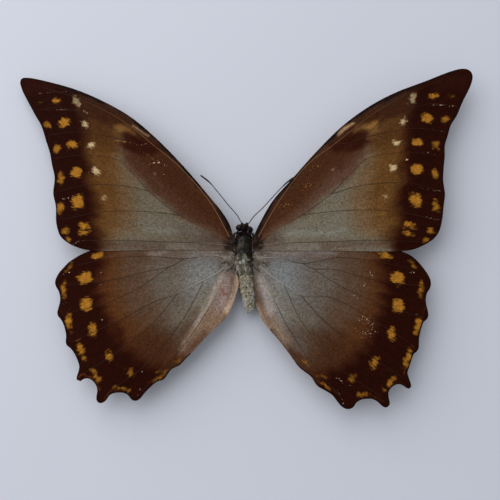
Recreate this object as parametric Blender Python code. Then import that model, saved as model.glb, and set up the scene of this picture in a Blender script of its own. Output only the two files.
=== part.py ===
"""A dried, spread butterfly specimen lying dorsal side up, about 163 mm across.

The origin is the middle of the thorax's flat underside, on the surface that the specimen lies on.
+X points to the specimen's right as seen from above with its head away from the viewer, +Y to the
head, and +Z up. Sizes below are in millimetres. Blender's units are metres.
"""

import math
from dataclasses import dataclass

import bmesh
import bpy
from mathutils import Vector, geometry

MM = 0.001

# Wings. Outlines and veins are plan readings taken on a level plane, READING_HEIGHT above the
# surface, from EYE. A point that lies higher or lower than that plane slides along its sight line.
READING_HEIGHT = 9.0
EYE = (2.2, -69.3, 270.4)
MEMBRANE = 0.3          # thickness of a wing
VEIN_RIDGE = 0.2        # how far a vein stands above the membrane
VEIN_HALF_WIDTH = 0.7
WING_GAP = 0.6          # clear height between a forewing and the hindwing under it
WING_ROOT_HEIGHT = 8.1
MARGIN_STEP = 2.6       # distance between the corners of a wing's outline
VEIN_STEP = 4.0
MEMBRANE_PITCH = 5.0    # distance between the corners inside a wing
CLEAR_OF_MARGIN = 1.7
CLEAR_OF_VEIN = 1.9

# Body
HEAD_CENTRE = (0.3, 8.3, 6.6)
HEAD_SEMI_AXES = (1.2, 1.3, 1.8)
EYE_SEMI_AXES = (1.5, 1.25, 1.45)
HEAD_TURN = 0.35        # the head is turned a little, so the right eye lies further back
EYE_SHIFT = (-0.1, 0.1)  # how far an eye lies behind and above the head's centre
GAP = 0.3               # between neighbouring pieces
BODY_SIDES = 20
HEAD_COLUMNS = 16       # faces round the head, an eye and a tegula, and from pole to pole
EYE_COLUMNS = 14
BALL_ROWS = 10
TEGULA_COLUMNS = 12
TEGULA_ROWS = 6
SMOOTH_ANGLE = 40.0     # edges that turn less than this, in degrees, are shaded smooth
LIMB_SMOOTH_ANGLE = 60.0


@dataclass(frozen=True)
class Spread:
    """How one side's wings are held: the height of their middle plane along the span."""

    lift: float         # rise from the root to LIFT_SPAN
    droop: float        # fall of the wing tip, which starts at DROOP_START

    LIFT_SPAN = 70.0
    DROOP_START = 35.0
    DROOP_SPAN = 45.0

    def height(self, x):
        out = abs(x)
        rise = self.lift * math.sin(min(out / self.LIFT_SPAN, 1.0) * math.pi / 2)
        fall = self.droop * (max(0.0, out - self.DROOP_START) / self.DROOP_SPAN) ** 2
        return WING_ROOT_HEIGHT + rise - fall


SPREAD = {"left": Spread(lift=0.8, droop=6.0), "right": Spread(lift=1.0, droop=0.3)}


# The outline of each forewing, from the root's front along the costa, round the apex and back along
# the inner margin. The root's edge closes it.
FOREWING_OUTLINE = {
    "right": [
        (3.5, 4.0), (5.0, 8.4), (10.0, 17.5), (17.0, 25.8), (25.3, 35.5), (35.3, 45.8), (45.3, 53.4),
        (54.7, 58.6), (65.3, 62.9), (74.7, 66.8), (78.2, 67.8), (80.6, 67.8), (82.2, 66.6), (82.6, 64.6),
        (81.6, 61.2), (78.2, 54.6), (75.9, 49.6), (73.5, 45.8), (72.2, 42.0), (70.9, 38.1), (70.6, 34.0),
        (70.0, 29.9), (69.5, 25.2), (69.8, 19.9), (69.1, 15.8), (68.3, 11.0), (67.1, 6.9), (65.0, 4.0),
        (61.2, 1.6), (57.6, 0.2), (52.0, -0.4), (30.0, -0.3), (3.5, -0.2),
    ],
    "left": [
        (-3.5, 3.0), (-4.8, 9.1), (-7.6, 13.8), (-10.6, 17.6), (-20.0, 29.1), (-30.0, 39.9),
        (-40.0, 48.8), (-50.0, 54.9), (-60.0, 59.5), (-70.0, 62.6), (-77.9, 64.3), (-80.0, 64.1),
        (-80.6, 62.8), (-79.7, 59.6), (-77.9, 56.1), (-74.4, 49.9), (-71.8, 45.5), (-69.7, 39.6),
        (-68.2, 35.5), (-67.1, 30.8), (-65.9, 26.1), (-66.0, 20.2), (-64.8, 15.5), (-64.3, 9.6),
        (-62.6, 4.9), (-60.0, 2.6), (-57.0, 1.1), (-52.4, -0.1), (-30.0, 0.0), (-3.5, 0.0),
    ],
}

# The outline of each hindwing, from the root along the hidden front edge, round the toothed outer
# margin and back along the inner margin. Each tooth is the end of a vein.
HINDWING_OUTLINE = {
    "right": [
        (3.6, -0.9), (8.0, 1.4), (20.0, 2.6), (35.0, 3.0), (48.0, 1.2), (55.9, -1.4),
        (58.1, -3.0), (59.9, -5.0), (61.8, -7.8), (62.9, -10.0), (63.1, -11.6), (62.6, -13.4),
        (61.6, -14.9), (61.1, -16.6), (61.1, -18.8), (61.6, -21.8), (61.5, -23.0), (60.9, -23.9),
        (59.9, -24.8), (59.1, -26.6), (58.2, -29.6), (57.9, -32.2), (57.7, -33.7), (57.1, -34.5),
        (56.0, -35.5), (55.1, -37.6), (54.3, -39.8), (53.7, -41.4), (54.1, -43.4), (54.7, -45.7),
        (54.4, -46.6), (53.6, -46.7), (52.4, -45.9), (51.1, -45.2), (49.6, -45.4), (48.1, -46.4),
        (47.2, -47.8), (47.2, -49.6), (47.5, -51.2), (47.0, -52.3), (46.0, -52.7), (45.0, -52.2),
        (43.5, -50.8), (42.0, -50.0), (40.0, -49.9), (38.2, -50.2), (36.7, -51.1), (35.6, -52.6),
        (34.7, -53.1), (33.2, -53.1), (31.9, -52.4), (30.6, -50.9), (29.0, -48.8), (26.6, -47.2),
        (24.3, -45.9), (23.3, -44.6), (22.2, -42.8), (20.0, -41.1), (18.3, -39.7), (15.0, -35.1),
        (11.2, -30.2), (8.3, -26.8), (6.3, -24.0), (4.9, -20.8), (4.3, -18.0), (4.1, -14.0),
        (3.8, -10.0), (3.6, -7.0),
    ],
    "left": [
        (-3.6, -0.9), (-8.0, 1.4), (-20.0, 2.6), (-35.0, 3.0), (-47.0, 1.6), (-55.0, -1.5),
        (-57.7, -3.2), (-59.3, -4.4), (-60.8, -6.1), (-62.4, -8.2), (-63.2, -10.0), (-63.4, -11.4),
        (-63.0, -12.7), (-62.1, -14.1), (-61.5, -15.8), (-61.3, -17.6), (-61.7, -19.8),
        (-62.0, -21.5), (-61.8, -22.6), (-60.9, -23.6), (-60.0, -24.9), (-59.2, -26.8),
        (-58.6, -29.3), (-58.6, -31.5), (-58.2, -32.5), (-57.0, -33.4), (-55.6, -35.1),
        (-54.5, -37.2), (-53.7, -39.4), (-53.9, -41.2), (-54.4, -43.2), (-54.1, -44.2),
        (-53.4, -44.4), (-52.2, -43.6), (-51.0, -43.3), (-49.5, -43.8), (-48.2, -45.1),
        (-47.4, -47.0), (-47.6, -49.2), (-47.5, -50.5), (-46.8, -51.2), (-45.6, -51.2),
        (-44.4, -50.3), (-43.2, -48.6), (-41.7, -48.0), (-38.8, -48.0), (-37.4, -48.7),
        (-36.2, -50.1), (-35.0, -50.6), (-33.5, -49.9), (-32.2, -48.3), (-30.3, -46.2),
        (-27.9, -44.3), (-26.2, -43.8), (-25.2, -42.8), (-23.8, -40.7), (-22.5, -39.8),
        (-21.0, -39.1), (-18.7, -36.7), (-16.0, -33.9), (-12.0, -29.3), (-8.0, -25.5),
        (-6.0, -23.5), (-4.3, -20.5), (-3.0, -17.0), (-1.9, -13.5), (-1.6, -11.0), (-2.1, -8.8),
        (-3.2, -6.6),
    ],
}

# Veins, from the root outwards
FOREWING_VEINS = {
    "right": [
        [(5.0, 4.6), (12.0, 17.0), (20.0, 28.3), (25.0, 33.3), (32.0, 38.6), (38.0, 43.6), (47.0, 50.8),
         (60.0, 58.4), (72.0, 63.6)],
        [(32.0, 38.6), (36.0, 38.9), (42.0, 41.0), (50.0, 48.5), (60.0, 52.4), (68.0, 54.2), (76.0, 53.2)],
        [(42.0, 41.0), (50.0, 43.0), (62.0, 44.6), (71.0, 43.2)],
        [(5.2, 2.9), (10.0, 6.8), (20.0, 12.5), (30.0, 20.0), (38.0, 28.5), (43.0, 33.0), (50.0, 35.0),
         (60.0, 35.5), (68.4, 34.2)],
        [(30.0, 20.0), (40.0, 23.0), (50.0, 24.2), (58.0, 24.0), (67.6, 21.6)],
        [(20.0, 12.5), (35.0, 14.1), (50.0, 14.0), (65.8, 11.0)],
        [(5.4, 1.6), (15.0, 2.5), (30.0, 3.0), (45.0, 3.5), (60.0, 2.9)],
    ],
    "left": [
        [(-4.8, 4.6), (-11.5, 17.0), (-19.0, 26.4), (-25.0, 32.6), (-31.0, 37.5), (-38.0, 43.6),
         (-47.0, 50.0), (-60.0, 56.4), (-72.0, 60.4)],
        [(-31.0, 37.5), (-35.5, 38.0), (-41.0, 40.0), (-49.0, 47.0), (-58.5, 51.0), (-67.0, 52.6),
         (-73.4, 51.6)],
        [(-41.0, 40.0), (-49.0, 41.8), (-60.0, 43.2), (-68.8, 42.0)],
        [(-5.2, 2.9), (-10.5, 6.8), (-22.0, 12.5), (-33.0, 21.2), (-38.5, 27.5), (-43.0, 32.2),
         (-50.0, 34.0), (-58.0, 34.4), (-66.0, 33.2)],
        [(-33.0, 21.2), (-41.0, 23.0), (-49.0, 23.6), (-56.0, 23.2), (-64.0, 21.0)],
        [(-22.0, 12.5), (-35.0, 13.8), (-49.0, 13.6), (-62.2, 10.8)],
        [(-5.4, 1.6), (-15.0, 2.5), (-30.0, 3.0), (-45.0, 3.5), (-57.0, 3.1)],
    ],
}
HINDWING_VEINS = {
    "right": [
        [(5.2, -3.0), (12.0, -2.6), (20.0, -4.7), (32.0, -2.6), (45.0, -4.0), (57.0, -6.6)],
        [(20.0, -4.7), (23.5, -6.5), (30.0, -6.7), (45.0, -10.6), (60.0, -12.6)],
        [(23.5, -6.5), (30.0, -11.0), (45.0, -18.4), (59.6, -23.2)],
        [(5.2, -5.2), (10.0, -9.5), (15.0, -12.7), (19.0, -15.5), (29.0, -16.4), (40.0, -22.0),
         (56.4, -32.8)],
        [(19.0, -15.5), (27.0, -24.5), (38.0, -33.5), (52.8, -43.6)],
        [(13.5, -11.8), (19.0, -24.0), (30.0, -38.5), (45.0, -49.4)],
        [(6.6, -9.0), (12.0, -21.0), (20.0, -35.0), (32.4, -50.4)],
    ],
    "left": [
        [(-5.2, -3.0), (-10.0, -1.8), (-20.0, -3.0), (-32.0, -2.2), (-45.0, -2.9), (-56.6, -5.4)],
        [(-20.0, -3.0), (-25.0, -5.8), (-33.0, -7.5), (-45.0, -10.5), (-60.4, -12.2)],
        [(-25.0, -5.8), (-35.0, -13.0), (-45.0, -18.0), (-59.8, -22.2)],
        [(-5.5, -5.0), (-9.0, -8.2), (-14.0, -10.8), (-22.0, -15.0), (-30.0, -18.0), (-42.0, -24.5),
         (-56.6, -31.4)],
        [(-22.0, -15.0), (-30.0, -25.0), (-40.0, -33.6), (-52.4, -42.0)],
        [(-13.5, -11.0), (-19.0, -22.0), (-30.0, -37.0), (-44.6, -48.6)],
        [(-6.2, -8.6), (-11.0, -19.0), (-20.0, -33.0), (-33.2, -47.8)],
    ],
}

# Thorax stations, front to back: y, half width, lowest and highest point of the oval section. The
# oval is cut off flat at the surface that the specimen lies on.
THORAX = [
    (6.7, 1.5, 4.4, 8.2), (6.3, 2.2, 3.0, 9.2), (5.6, 2.6, 1.4, 9.9), (5.0, 2.65, 0.2, 10.0),
    (4.3, 2.8, -0.9, 10.6), (3.0, 3.05, -1.2, 11.1), (1.0, 3.15, -1.3, 11.4), (-1.0, 3.15, -1.3, 11.3),
    (-2.6, 3.1, -1.3, 10.9), (-3.4, 3.05, -1.2, 10.3), (-4.3, 2.95, -1.0, 10.5), (-5.4, 2.6, 0.2, 9.9),
    (-6.3, 2.1, 1.8, 9.0), (-6.9, 1.5, 3.4, 7.8),
]
OVAL_POWER = 2.4

# Abdomen: axis points with the radius there, front to back
ABDOMEN = [
    ((0.60, -7.3, 6.2), 1.60), ((0.70, -8.4, 6.1), 2.15), ((1.00, -11.0, 5.7), 2.25),
    ((1.40, -14.0, 5.2), 2.15), ((1.80, -17.0, 4.7), 1.95), ((2.05, -19.0, 4.35), 1.60),
    ((2.15, -20.0, 4.15), 1.05), ((2.20, -20.4, 4.1), 0.45),
]
ABDOMEN_SEGMENTS = 8
SEGMENT_STEP = 0.12     # how far each segment's rear edge overlaps the next
ABDOMEN_SIDES = 16
ABDOMEN_STEP = 0.5
ANAL_FOLD_DEPTH = 2.2   # a hindwing turns down this far where it lies along the abdomen
ANAL_FOLD_WIDTH = 2.4
ANAL_FOLD_REACH = 2.6   # distance from the abdomen's axis where the fold is deepest
ANAL_FOLD_START = -4.0  # the fold begins here and is full ANAL_FOLD_RUN further back
ANAL_FOLD_RUN = 4.0

# Antennae: readings on the level plane with the height there, from the head to the tip
ANTENNAE = {
    "left": [
        (-0.55, 9.2, 8.3), (-1.0, 10.1, 8.4), (-2.2, 12.3, 8.5), (-6.0, 17.0, 8.8), (-9.5, 21.5, 9.0),
        (-11.8, 24.3, 9.1), (-15.1, 27.0, 9.2),
    ],
    "right": [
        (1.3, 8.9, 8.3), (1.9, 9.6, 8.4), (3.5, 11.9, 8.6), (6.7, 15.1, 9.0), (10.8, 19.8, 9.5),
        (14.4, 23.7, 9.9), (17.4, 26.2, 10.2),
    ],
}
ANTENNA_RADIUS = 0.17
CLUB_RADIUS = 0.32
CLUB_START = 0.75       # share of the length
CLUB_SWELL = 0.8        # share of the swelling's full wave that the club shows before its blunt end
ANTENNA_STEP = 2.4

# Legs, folded under the thorax: joints from the hip to the claws with the radius there. Both sides
# are alike, and the x values are those of the right leg.
LEGS = {
    "foreleg": [((2.5, 4.9, 1.3), 0.30), ((3.5, 7.0, 2.6), 0.34), ((1.8, 8.3, 3.3), 0.20)],
    "midleg": [
        ((3.3, 0.8, 2.0), 0.42), ((6.9, 6.2, 0.56), 0.46), ((4.6, -2.4, 0.6), 0.28),
        ((3.0, -8.4, 0.25), 0.17),
    ],
    "hindleg": [
        ((3.3, -2.6, 2.4), 0.42), ((6.8, -6.0, 4.0), 0.46), ((1.9, -9.8, 1.1), 0.28),
        ((0.4, -15.4, 0.25), 0.17),
    ],
}
LEG_SIDES = 6
LEG_STEP = 1.6

PALP = [((0.85, 9.0, 4.4), 0.28), ((0.9, 9.75, 5.2), 0.42), ((0.85, 10.05, 6.4), 0.36),
        ((0.8, 9.9, 7.3), 0.18)]
PALP_STEP = 0.9
PROBOSCIS_CENTRE = (0.3, 9.1, 3.1)
PROBOSCIS_OUTER = 1.15
PROBOSCIS_INNER = 0.35
PROBOSCIS_TURNS = 1.75
PROBOSCIS_RADIUS = 0.13
PROBOSCIS_TAPER = 0.3
PROBOSCIS_RINGS = 26
TEGULA_CENTRE = (3.75, 3.3, 9.5)
TEGULA_SEMI_AXES = (0.95, 1.7, 0.4)

# Materials: colour, roughness
WING_BROWN = ((0.085, 0.045, 0.028), 0.75)
WING_GREY = ((0.12, 0.12, 0.11), 0.75)
HAIR_BLACK = ((0.02, 0.018, 0.016), 0.9)
SCALE_GREY = ((0.20, 0.19, 0.13), 0.9)
EYE_BLACK = ((0.012, 0.010, 0.010), 0.25)
HORN_BROWN = ((0.03, 0.02, 0.015), 0.5)


def clear_scene():
    """Remove whatever the open file holds."""
    for item in list(bpy.data.objects):
        bpy.data.objects.remove(item, do_unlink=True)


def material(name, finish):
    """A plain Principled material of a colour and a roughness."""
    colour, roughness = finish
    made = bpy.data.materials.new(name)
    made.use_nodes = True
    shader = made.node_tree.nodes["Principled BSDF"]
    shader.inputs["Base Color"].default_value = (*colour, 1.0)
    shader.inputs["Roughness"].default_value = roughness
    shader.inputs["Metallic"].default_value = 0.0
    return made


def add_object(name, mesh_data, finish, smooth_angle=SMOOTH_ANGLE):
    """Turn a finished bmesh in millimetres into a named object with its own material."""
    bmesh.ops.scale(mesh_data, vec=(MM, MM, MM), verts=mesh_data.verts)
    bmesh.ops.recalc_face_normals(mesh_data, faces=mesh_data.faces)
    mesh = bpy.data.meshes.new(name)
    mesh_data.to_mesh(mesh)
    mesh_data.free()
    mesh.shade_smooth()
    mesh.set_sharp_from_angle(angle=math.radians(smooth_angle))
    made = bpy.data.objects.new(name, mesh)
    made.data.materials.append(material(name, finish))
    bpy.context.scene.collection.objects.link(made)
    return made


def sighted(x, y, z):
    """The place of a plan reading once it lies at height z, on its line of sight."""
    share = (EYE[2] - z) / (EYE[2] - READING_HEIGHT)
    return Vector((EYE[0] + (x - EYE[0]) * share, EYE[1] + (y - EYE[1]) * share, z))


def curve_through(points, step):
    """Corners about a step apart on a smooth curve through points of any dimension."""
    points = [Vector(p) for p in points]
    ends = [points[0] * 2 - points[1]] + points + [points[-1] * 2 - points[-2]]
    run = []
    for before, start, end, after in zip(ends, ends[1:], ends[2:], ends[3:]):
        pieces = max(1, round((end - start).length / step))
        run += [spline_point(before, start, end, after, i / pieces) for i in range(pieces)]
    return run + [points[-1]]


def spline_point(before, start, end, after, share):
    """A point of the centripetal spline between start and end."""
    knots = [0.0]
    for a, b in ((before, start), (start, end), (end, after)):
        knots.append(knots[-1] + max((b - a).length, 1e-6) ** 0.5)
    t = knots[1] + share * (knots[2] - knots[1])

    def between(p, q, i, j):
        return p * ((knots[j] - t) / (knots[j] - knots[i])) + q * ((t - knots[i]) / (knots[j] - knots[i]))

    first, middle, last = between(before, start, 0, 1), between(start, end, 1, 2), between(end, after, 2, 3)
    return between(between(first, middle, 0, 2), between(middle, last, 1, 3), 1, 2)


def distance_to_run(point, run):
    """The plan distance from a point to a line of corners."""
    best = math.inf
    for start, end in zip(run, run[1:]):
        nearest, share = geometry.intersect_point_line(point, start, end)
        nearest = start if share < 0 else end if share > 1 else nearest.to_2d()
        best = min(best, (point - nearest).length)
    return best


def inside(point, outline):
    """Whether a plan point lies within a closed outline."""
    crossings = 0
    for start, end in zip(outline, outline[1:] + outline[:1]):
        if (start.y > point.y) != (end.y > point.y):
            x = start.x + (point.y - start.y) * (end.x - start.x) / (end.y - start.y)
            crossings += point.x < x
    return crossings % 2 == 1


def membrane_points(outline, veins):
    """A hexagonal field of corners inside the outline, clear of the margin and the veins."""
    closed = outline + outline[:1]
    row_height = MEMBRANE_PITCH * math.sqrt(3) / 2
    left, right = min(p.x for p in outline), max(p.x for p in outline)
    low, high = min(p.y for p in outline), max(p.y for p in outline)
    points = []
    for row in range(int((high - low) / row_height) + 1):
        for column in range(int((right - left) / MEMBRANE_PITCH) + 2):
            point = Vector((left + (column - row % 2 / 2) * MEMBRANE_PITCH, low + row * row_height))
            if not inside(point, outline) or distance_to_run(point, closed) < CLEAR_OF_MARGIN:
                continue
            if all(distance_to_run(point, vein) >= CLEAR_OF_VEIN for vein in veins):
                points.append(point)
    return points


def wing_plan(outline, veins):
    """Triangles of a wing's plan, with the outline and the veins among their edges."""
    corners = list(outline)
    edges = [(i, (i + 1) % len(outline)) for i in range(len(outline))]
    for vein in veins:
        first = len(corners)
        corners += vein
        edges += [(first + i, first + i + 1) for i in range(len(vein) - 1)]
    corners += membrane_points(outline, veins)
    corners, _, faces, *_ = geometry.delaunay_2d_cdt(corners, edges, [], 1, 0.01)
    return corners, faces


def anal_fold(x, y):
    """How far a hindwing turns down beside the abdomen."""
    axis = [Vector(point[:2]) for point, _ in ABDOMEN]
    away = max(0.0, distance_to_run(Vector((x, y)), axis) - ANAL_FOLD_REACH)
    start = min(1.0, max(0.0, (ANAL_FOLD_START - y) / ANAL_FOLD_RUN))
    return ANAL_FOLD_DEPTH * start * math.exp(-((away / ANAL_FOLD_WIDTH) ** 2))


def wing(name, margin, vein_routes, under_height, finish):
    """A wing: its plan lifted to its own height, with thickness and with veins that stand proud."""
    veins = [curve_through(route, VEIN_STEP) for route in vein_routes]
    corners, faces = wing_plan(curve_through(margin, MARGIN_STEP), veins)
    made = bmesh.new()
    bottom = [made.verts.new((*p, 0.0)) for p in corners]
    for face in faces:
        made.faces.new([bottom[i] for i in face])
    extruded = bmesh.ops.extrude_face_region(made, geom=made.faces[:])
    top = [item for item in extruded["geom"] if isinstance(item, bmesh.types.BMVert)]
    raised = set(top)
    for vert in made.verts:
        reading = vert.co.to_2d()
        height = under_height(reading.x, reading.y)
        if vert in raised:
            nearest = min(distance_to_run(reading, vein) for vein in veins)
            height += MEMBRANE + VEIN_RIDGE * max(0.0, 1.0 - nearest / VEIN_HALF_WIDTH)
        vert.co = sighted(reading.x, reading.y, height)
    return add_object(name, made, finish, smooth_angle=LIMB_SMOOTH_ANGLE)


def forewing(side):
    """A forewing, which lies over the hindwing's front edge."""

    def under(x, y):
        return SPREAD[side].height(x) + WING_GAP / 2

    return wing(f"forewing_{side}", FOREWING_OUTLINE[side], FOREWING_VEINS[side], under, WING_BROWN)


def hindwing(side):
    """A hindwing, under the forewing's rear edge and folded down beside the abdomen."""

    def under(x, y):
        return SPREAD[side].height(x) - WING_GAP / 2 - MEMBRANE - anal_fold(x, y)

    return wing(f"hindwing_{side}", HINDWING_OUTLINE[side], HINDWING_VEINS[side], under, WING_GREY)


def bridged(rings):
    """A closed skin over rings of corners that match one to one."""
    made = bmesh.new()
    loops = [[made.verts.new(p) for p in ring] for ring in rings]
    for near, far in zip(loops, loops[1:]):
        for i in range(len(near)):
            j = (i + 1) % len(near)
            made.faces.new((near[i], near[j], far[j], far[i]))
    made.faces.new(loops[0])
    made.faces.new(loops[-1])
    return made


def tube_rings(points, radii, sides, across=Vector((0.0, 0.0, 1.0))):
    """Rings round a line of points, square to it and without a twist, started from across."""
    rings = []
    for i, (point, radius) in enumerate(zip(points, radii)):
        along = (points[min(i + 1, len(points) - 1)] - points[max(i - 1, 0)]).normalized()
        across = (across - along * across.dot(along)).normalized()
        third = along.cross(across)
        turns = [2 * math.pi * k / sides for k in range(sides)]
        rings.append([point + (across * math.cos(a) + third * math.sin(a)) * radius for a in turns])
    return rings


def thorax():
    """The thorax: oval sections from the neck to the waist, flat underneath."""
    rings = []
    for y, half_width, low, high in THORAX:
        middle, half_height = (low + high) / 2, (high - low) / 2
        ring = []
        for k in range(BODY_SIDES):
            turn = 2 * math.pi * (k + 0.5) / BODY_SIDES
            across, up = math.cos(turn), math.sin(turn)
            size = (abs(across) ** OVAL_POWER + abs(up) ** OVAL_POWER) ** (-1 / OVAL_POWER)
            z = max(0.0, middle + half_height * size * up)
            ring.append(Vector((half_width * size * across, y, z)))
        rings.append(ring)
    return add_object("thorax", bridged(rings), HAIR_BLACK)


def abdomen():
    """The abdomen: a tapering, slightly bent tube of overlapping segments."""
    axis = [Vector((*point, radius)) for point, radius in ABDOMEN]
    dense = curve_through(axis, ABDOMEN_STEP)
    first, last = dense[0].y, dense[-1].y
    points, radii = [], []
    for sample in dense:
        along = (sample.y - first) / (last - first) * ABDOMEN_SEGMENTS
        within = along % 1.0
        points.append(sample.to_3d())
        radii.append(sample.w + SEGMENT_STEP * (within - 0.5))
    return add_object("abdomen", bridged(tube_rings(points, radii, ABDOMEN_SIDES)), SCALE_GREY)


def ball(centre, semi_axes, columns, rows):
    """An ellipsoid's mesh."""
    made = bmesh.new()
    bmesh.ops.create_uvsphere(made, u_segments=columns, v_segments=rows, radius=1.0)
    bmesh.ops.scale(made, vec=semi_axes, verts=made.verts)
    bmesh.ops.translate(made, vec=centre, verts=made.verts)
    return made


def head():
    """The head between the eyes."""
    return add_object("head", ball(HEAD_CENTRE, HEAD_SEMI_AXES, HEAD_COLUMNS, BALL_ROWS), HAIR_BLACK)


def compound_eye(side):
    """A domed eye whose flat back faces the head."""
    outward = -1.0 if side == "left" else 1.0
    back = HEAD_CENTRE[0] + outward * (HEAD_SEMI_AXES[0] + GAP)
    along = HEAD_CENTRE[1] - outward * HEAD_TURN + EYE_SHIFT[0]
    centre = Vector((back, along, HEAD_CENTRE[2] + EYE_SHIFT[1]))
    made = ball(centre, EYE_SEMI_AXES, EYE_COLUMNS, BALL_ROWS)
    bmesh.ops.bisect_plane(made, geom=made.verts[:] + made.edges[:] + made.faces[:], dist=1e-4,
                           plane_co=centre, plane_no=(outward, 0.0, 0.0), clear_inner=True)
    bmesh.ops.holes_fill(made, edges=made.edges[:])
    return add_object(f"eye_{side}", made, EYE_BLACK)


def limb(name, joints, centre_x, outward, step, finish):
    """A tapering limb through its joints, mirrored to its side of the body."""
    line = []
    for (x, y, z), radius in joints:
        line.append(Vector((centre_x + outward * x, y, z, radius)))
    samples = curve_through(line, step)
    rings = tube_rings([s.to_3d() for s in samples], [s.w for s in samples], LEG_SIDES)
    return add_object(name, bridged(rings), finish, smooth_angle=LIMB_SMOOTH_ANGLE)


def antenna(side):
    """A thin antenna that thickens to a slight club."""
    line = curve_through([sighted(*reading) for reading in ANTENNAE[side]], ANTENNA_STEP)
    radii = []
    for i in range(len(line)):
        share = i / (len(line) - 1)
        along_club = max(0.0, share - CLUB_START) / (1.0 - CLUB_START)
        swell = math.sin(math.pi * CLUB_SWELL * along_club)
        radii.append(ANTENNA_RADIUS + (CLUB_RADIUS - ANTENNA_RADIUS) * swell)
    return add_object(f"antenna_{side}", bridged(tube_rings(line, radii, LEG_SIDES)), HORN_BROWN,
                      LIMB_SMOOTH_ANGLE)


def proboscis():
    """The tongue, coiled like a watch spring under the head."""
    centre = Vector(PROBOSCIS_CENTRE)
    line, radii = [], []
    for i in range(PROBOSCIS_RINGS):
        share = i / (PROBOSCIS_RINGS - 1)
        turn = math.pi / 2 + 2 * math.pi * PROBOSCIS_TURNS * share
        reach = PROBOSCIS_OUTER + (PROBOSCIS_INNER - PROBOSCIS_OUTER) * share
        line.append(centre + Vector((0.0, -math.cos(turn), math.sin(turn))) * reach)
        radii.append(PROBOSCIS_RADIUS * (1.0 - PROBOSCIS_TAPER * share))
    rings = tube_rings(line, radii, LEG_SIDES, across=Vector((1.0, 0.0, 0.0)))
    return add_object("proboscis", bridged(rings), HORN_BROWN, LIMB_SMOOTH_ANGLE)


def tegula(side):
    """The scaled plate that covers a forewing's root."""
    outward = -1.0 if side == "left" else 1.0
    centre = (outward * TEGULA_CENTRE[0], TEGULA_CENTRE[1], TEGULA_CENTRE[2])
    made = ball(centre, TEGULA_SEMI_AXES, TEGULA_COLUMNS, TEGULA_ROWS)
    return add_object(f"tegula_{side}", made, HAIR_BLACK)


def main():
    clear_scene()
    thorax()
    abdomen()
    head()
    proboscis()
    for side, outward in (("left", -1.0), ("right", 1.0)):
        forewing(side)
        hindwing(side)
        antenna(side)
        compound_eye(side)
        tegula(side)
        limb(f"palp_{side}", PALP, HEAD_CENTRE[0], outward, PALP_STEP, HAIR_BLACK)
        for kind, joints in LEGS.items():
            limb(f"{kind}_{side}", joints, 0.0, outward, LEG_STEP, HORN_BROWN)


main()
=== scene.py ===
"""Looks for a dried, spread butterfly specimen: scaled wings, furred body, antennae and legs.

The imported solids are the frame, and each piece here stands for the solid of its own name. Sizes and
places are in millimetres in the solids' own frame, and a mesh is turned into metres when it is done.
"""

import logging
import math
from collections.abc import Callable, Iterator, Sequence
from contextlib import contextmanager
from dataclasses import dataclass
from enum import Enum

import bpy
import numpy as np
from mathutils import Matrix


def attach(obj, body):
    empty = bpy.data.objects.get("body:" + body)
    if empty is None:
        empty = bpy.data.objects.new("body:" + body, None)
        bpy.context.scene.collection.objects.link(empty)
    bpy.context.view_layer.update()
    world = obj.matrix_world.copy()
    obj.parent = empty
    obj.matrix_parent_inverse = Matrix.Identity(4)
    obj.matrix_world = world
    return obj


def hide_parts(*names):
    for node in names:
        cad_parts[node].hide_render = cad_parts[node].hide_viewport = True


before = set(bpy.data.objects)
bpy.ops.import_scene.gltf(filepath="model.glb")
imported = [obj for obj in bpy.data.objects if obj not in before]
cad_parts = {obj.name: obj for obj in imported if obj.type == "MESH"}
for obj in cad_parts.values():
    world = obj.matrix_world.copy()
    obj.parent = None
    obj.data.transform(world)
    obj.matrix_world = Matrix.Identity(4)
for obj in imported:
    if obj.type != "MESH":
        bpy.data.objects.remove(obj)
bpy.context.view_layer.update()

LOG = logging.getLogger("butterfly")
MM = 0.001

Array = np.ndarray
Point = tuple[float, float]
Place = tuple[float, float, float]
Colour = tuple[float, float, float]
Painter = Callable[[Array], Array]
Socket = bpy.types.NodeSocket

# Readings of the wings and antennae are taken on a level plane, READING_HEIGHT above the surface,
# from EYE. A reading that lies higher or lower than that plane slides along its sight line.
READING_HEIGHT = 9.0
EYE = (2.2, -69.3, 270.4)
OUTSIDE_MARKS = -9.0    # a depth, in mm, further out than any mark reaches
PAINT_GAIN = 1.18       # brings a colour seen on the specimen to the surface's own colour


class Side(Enum):
    """A side of the body, seen from above with the head away from the viewer."""

    LEFT = "left"
    RIGHT = "right"

    @property
    def outward(self) -> float:
        """The sign of x on this side."""
        return -1.0 if self is Side.LEFT else 1.0


class WingKind(Enum):
    """Which pair of wings a wing belongs to."""

    FOREWING = "forewing"
    HINDWING = "hindwing"


def paint(red: float, green: float, blue: float) -> Colour:
    """The surface colour, in linear light, of a colour named by its three display values of 0 to 255.

    Args:
        red: the red display value.
        green: the green display value.
        blue: the blue display value.

    Returns:
        The linear colour.
    """
    shares = [value / 255.0 for value in (red, green, blue)]
    linear = [s / 12.92 if s <= 0.04045 else ((s + 0.055) / 1.055) ** 2.4 for s in shares]
    return tuple(min(0.9, value * PAINT_GAIN) for value in linear)


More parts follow.
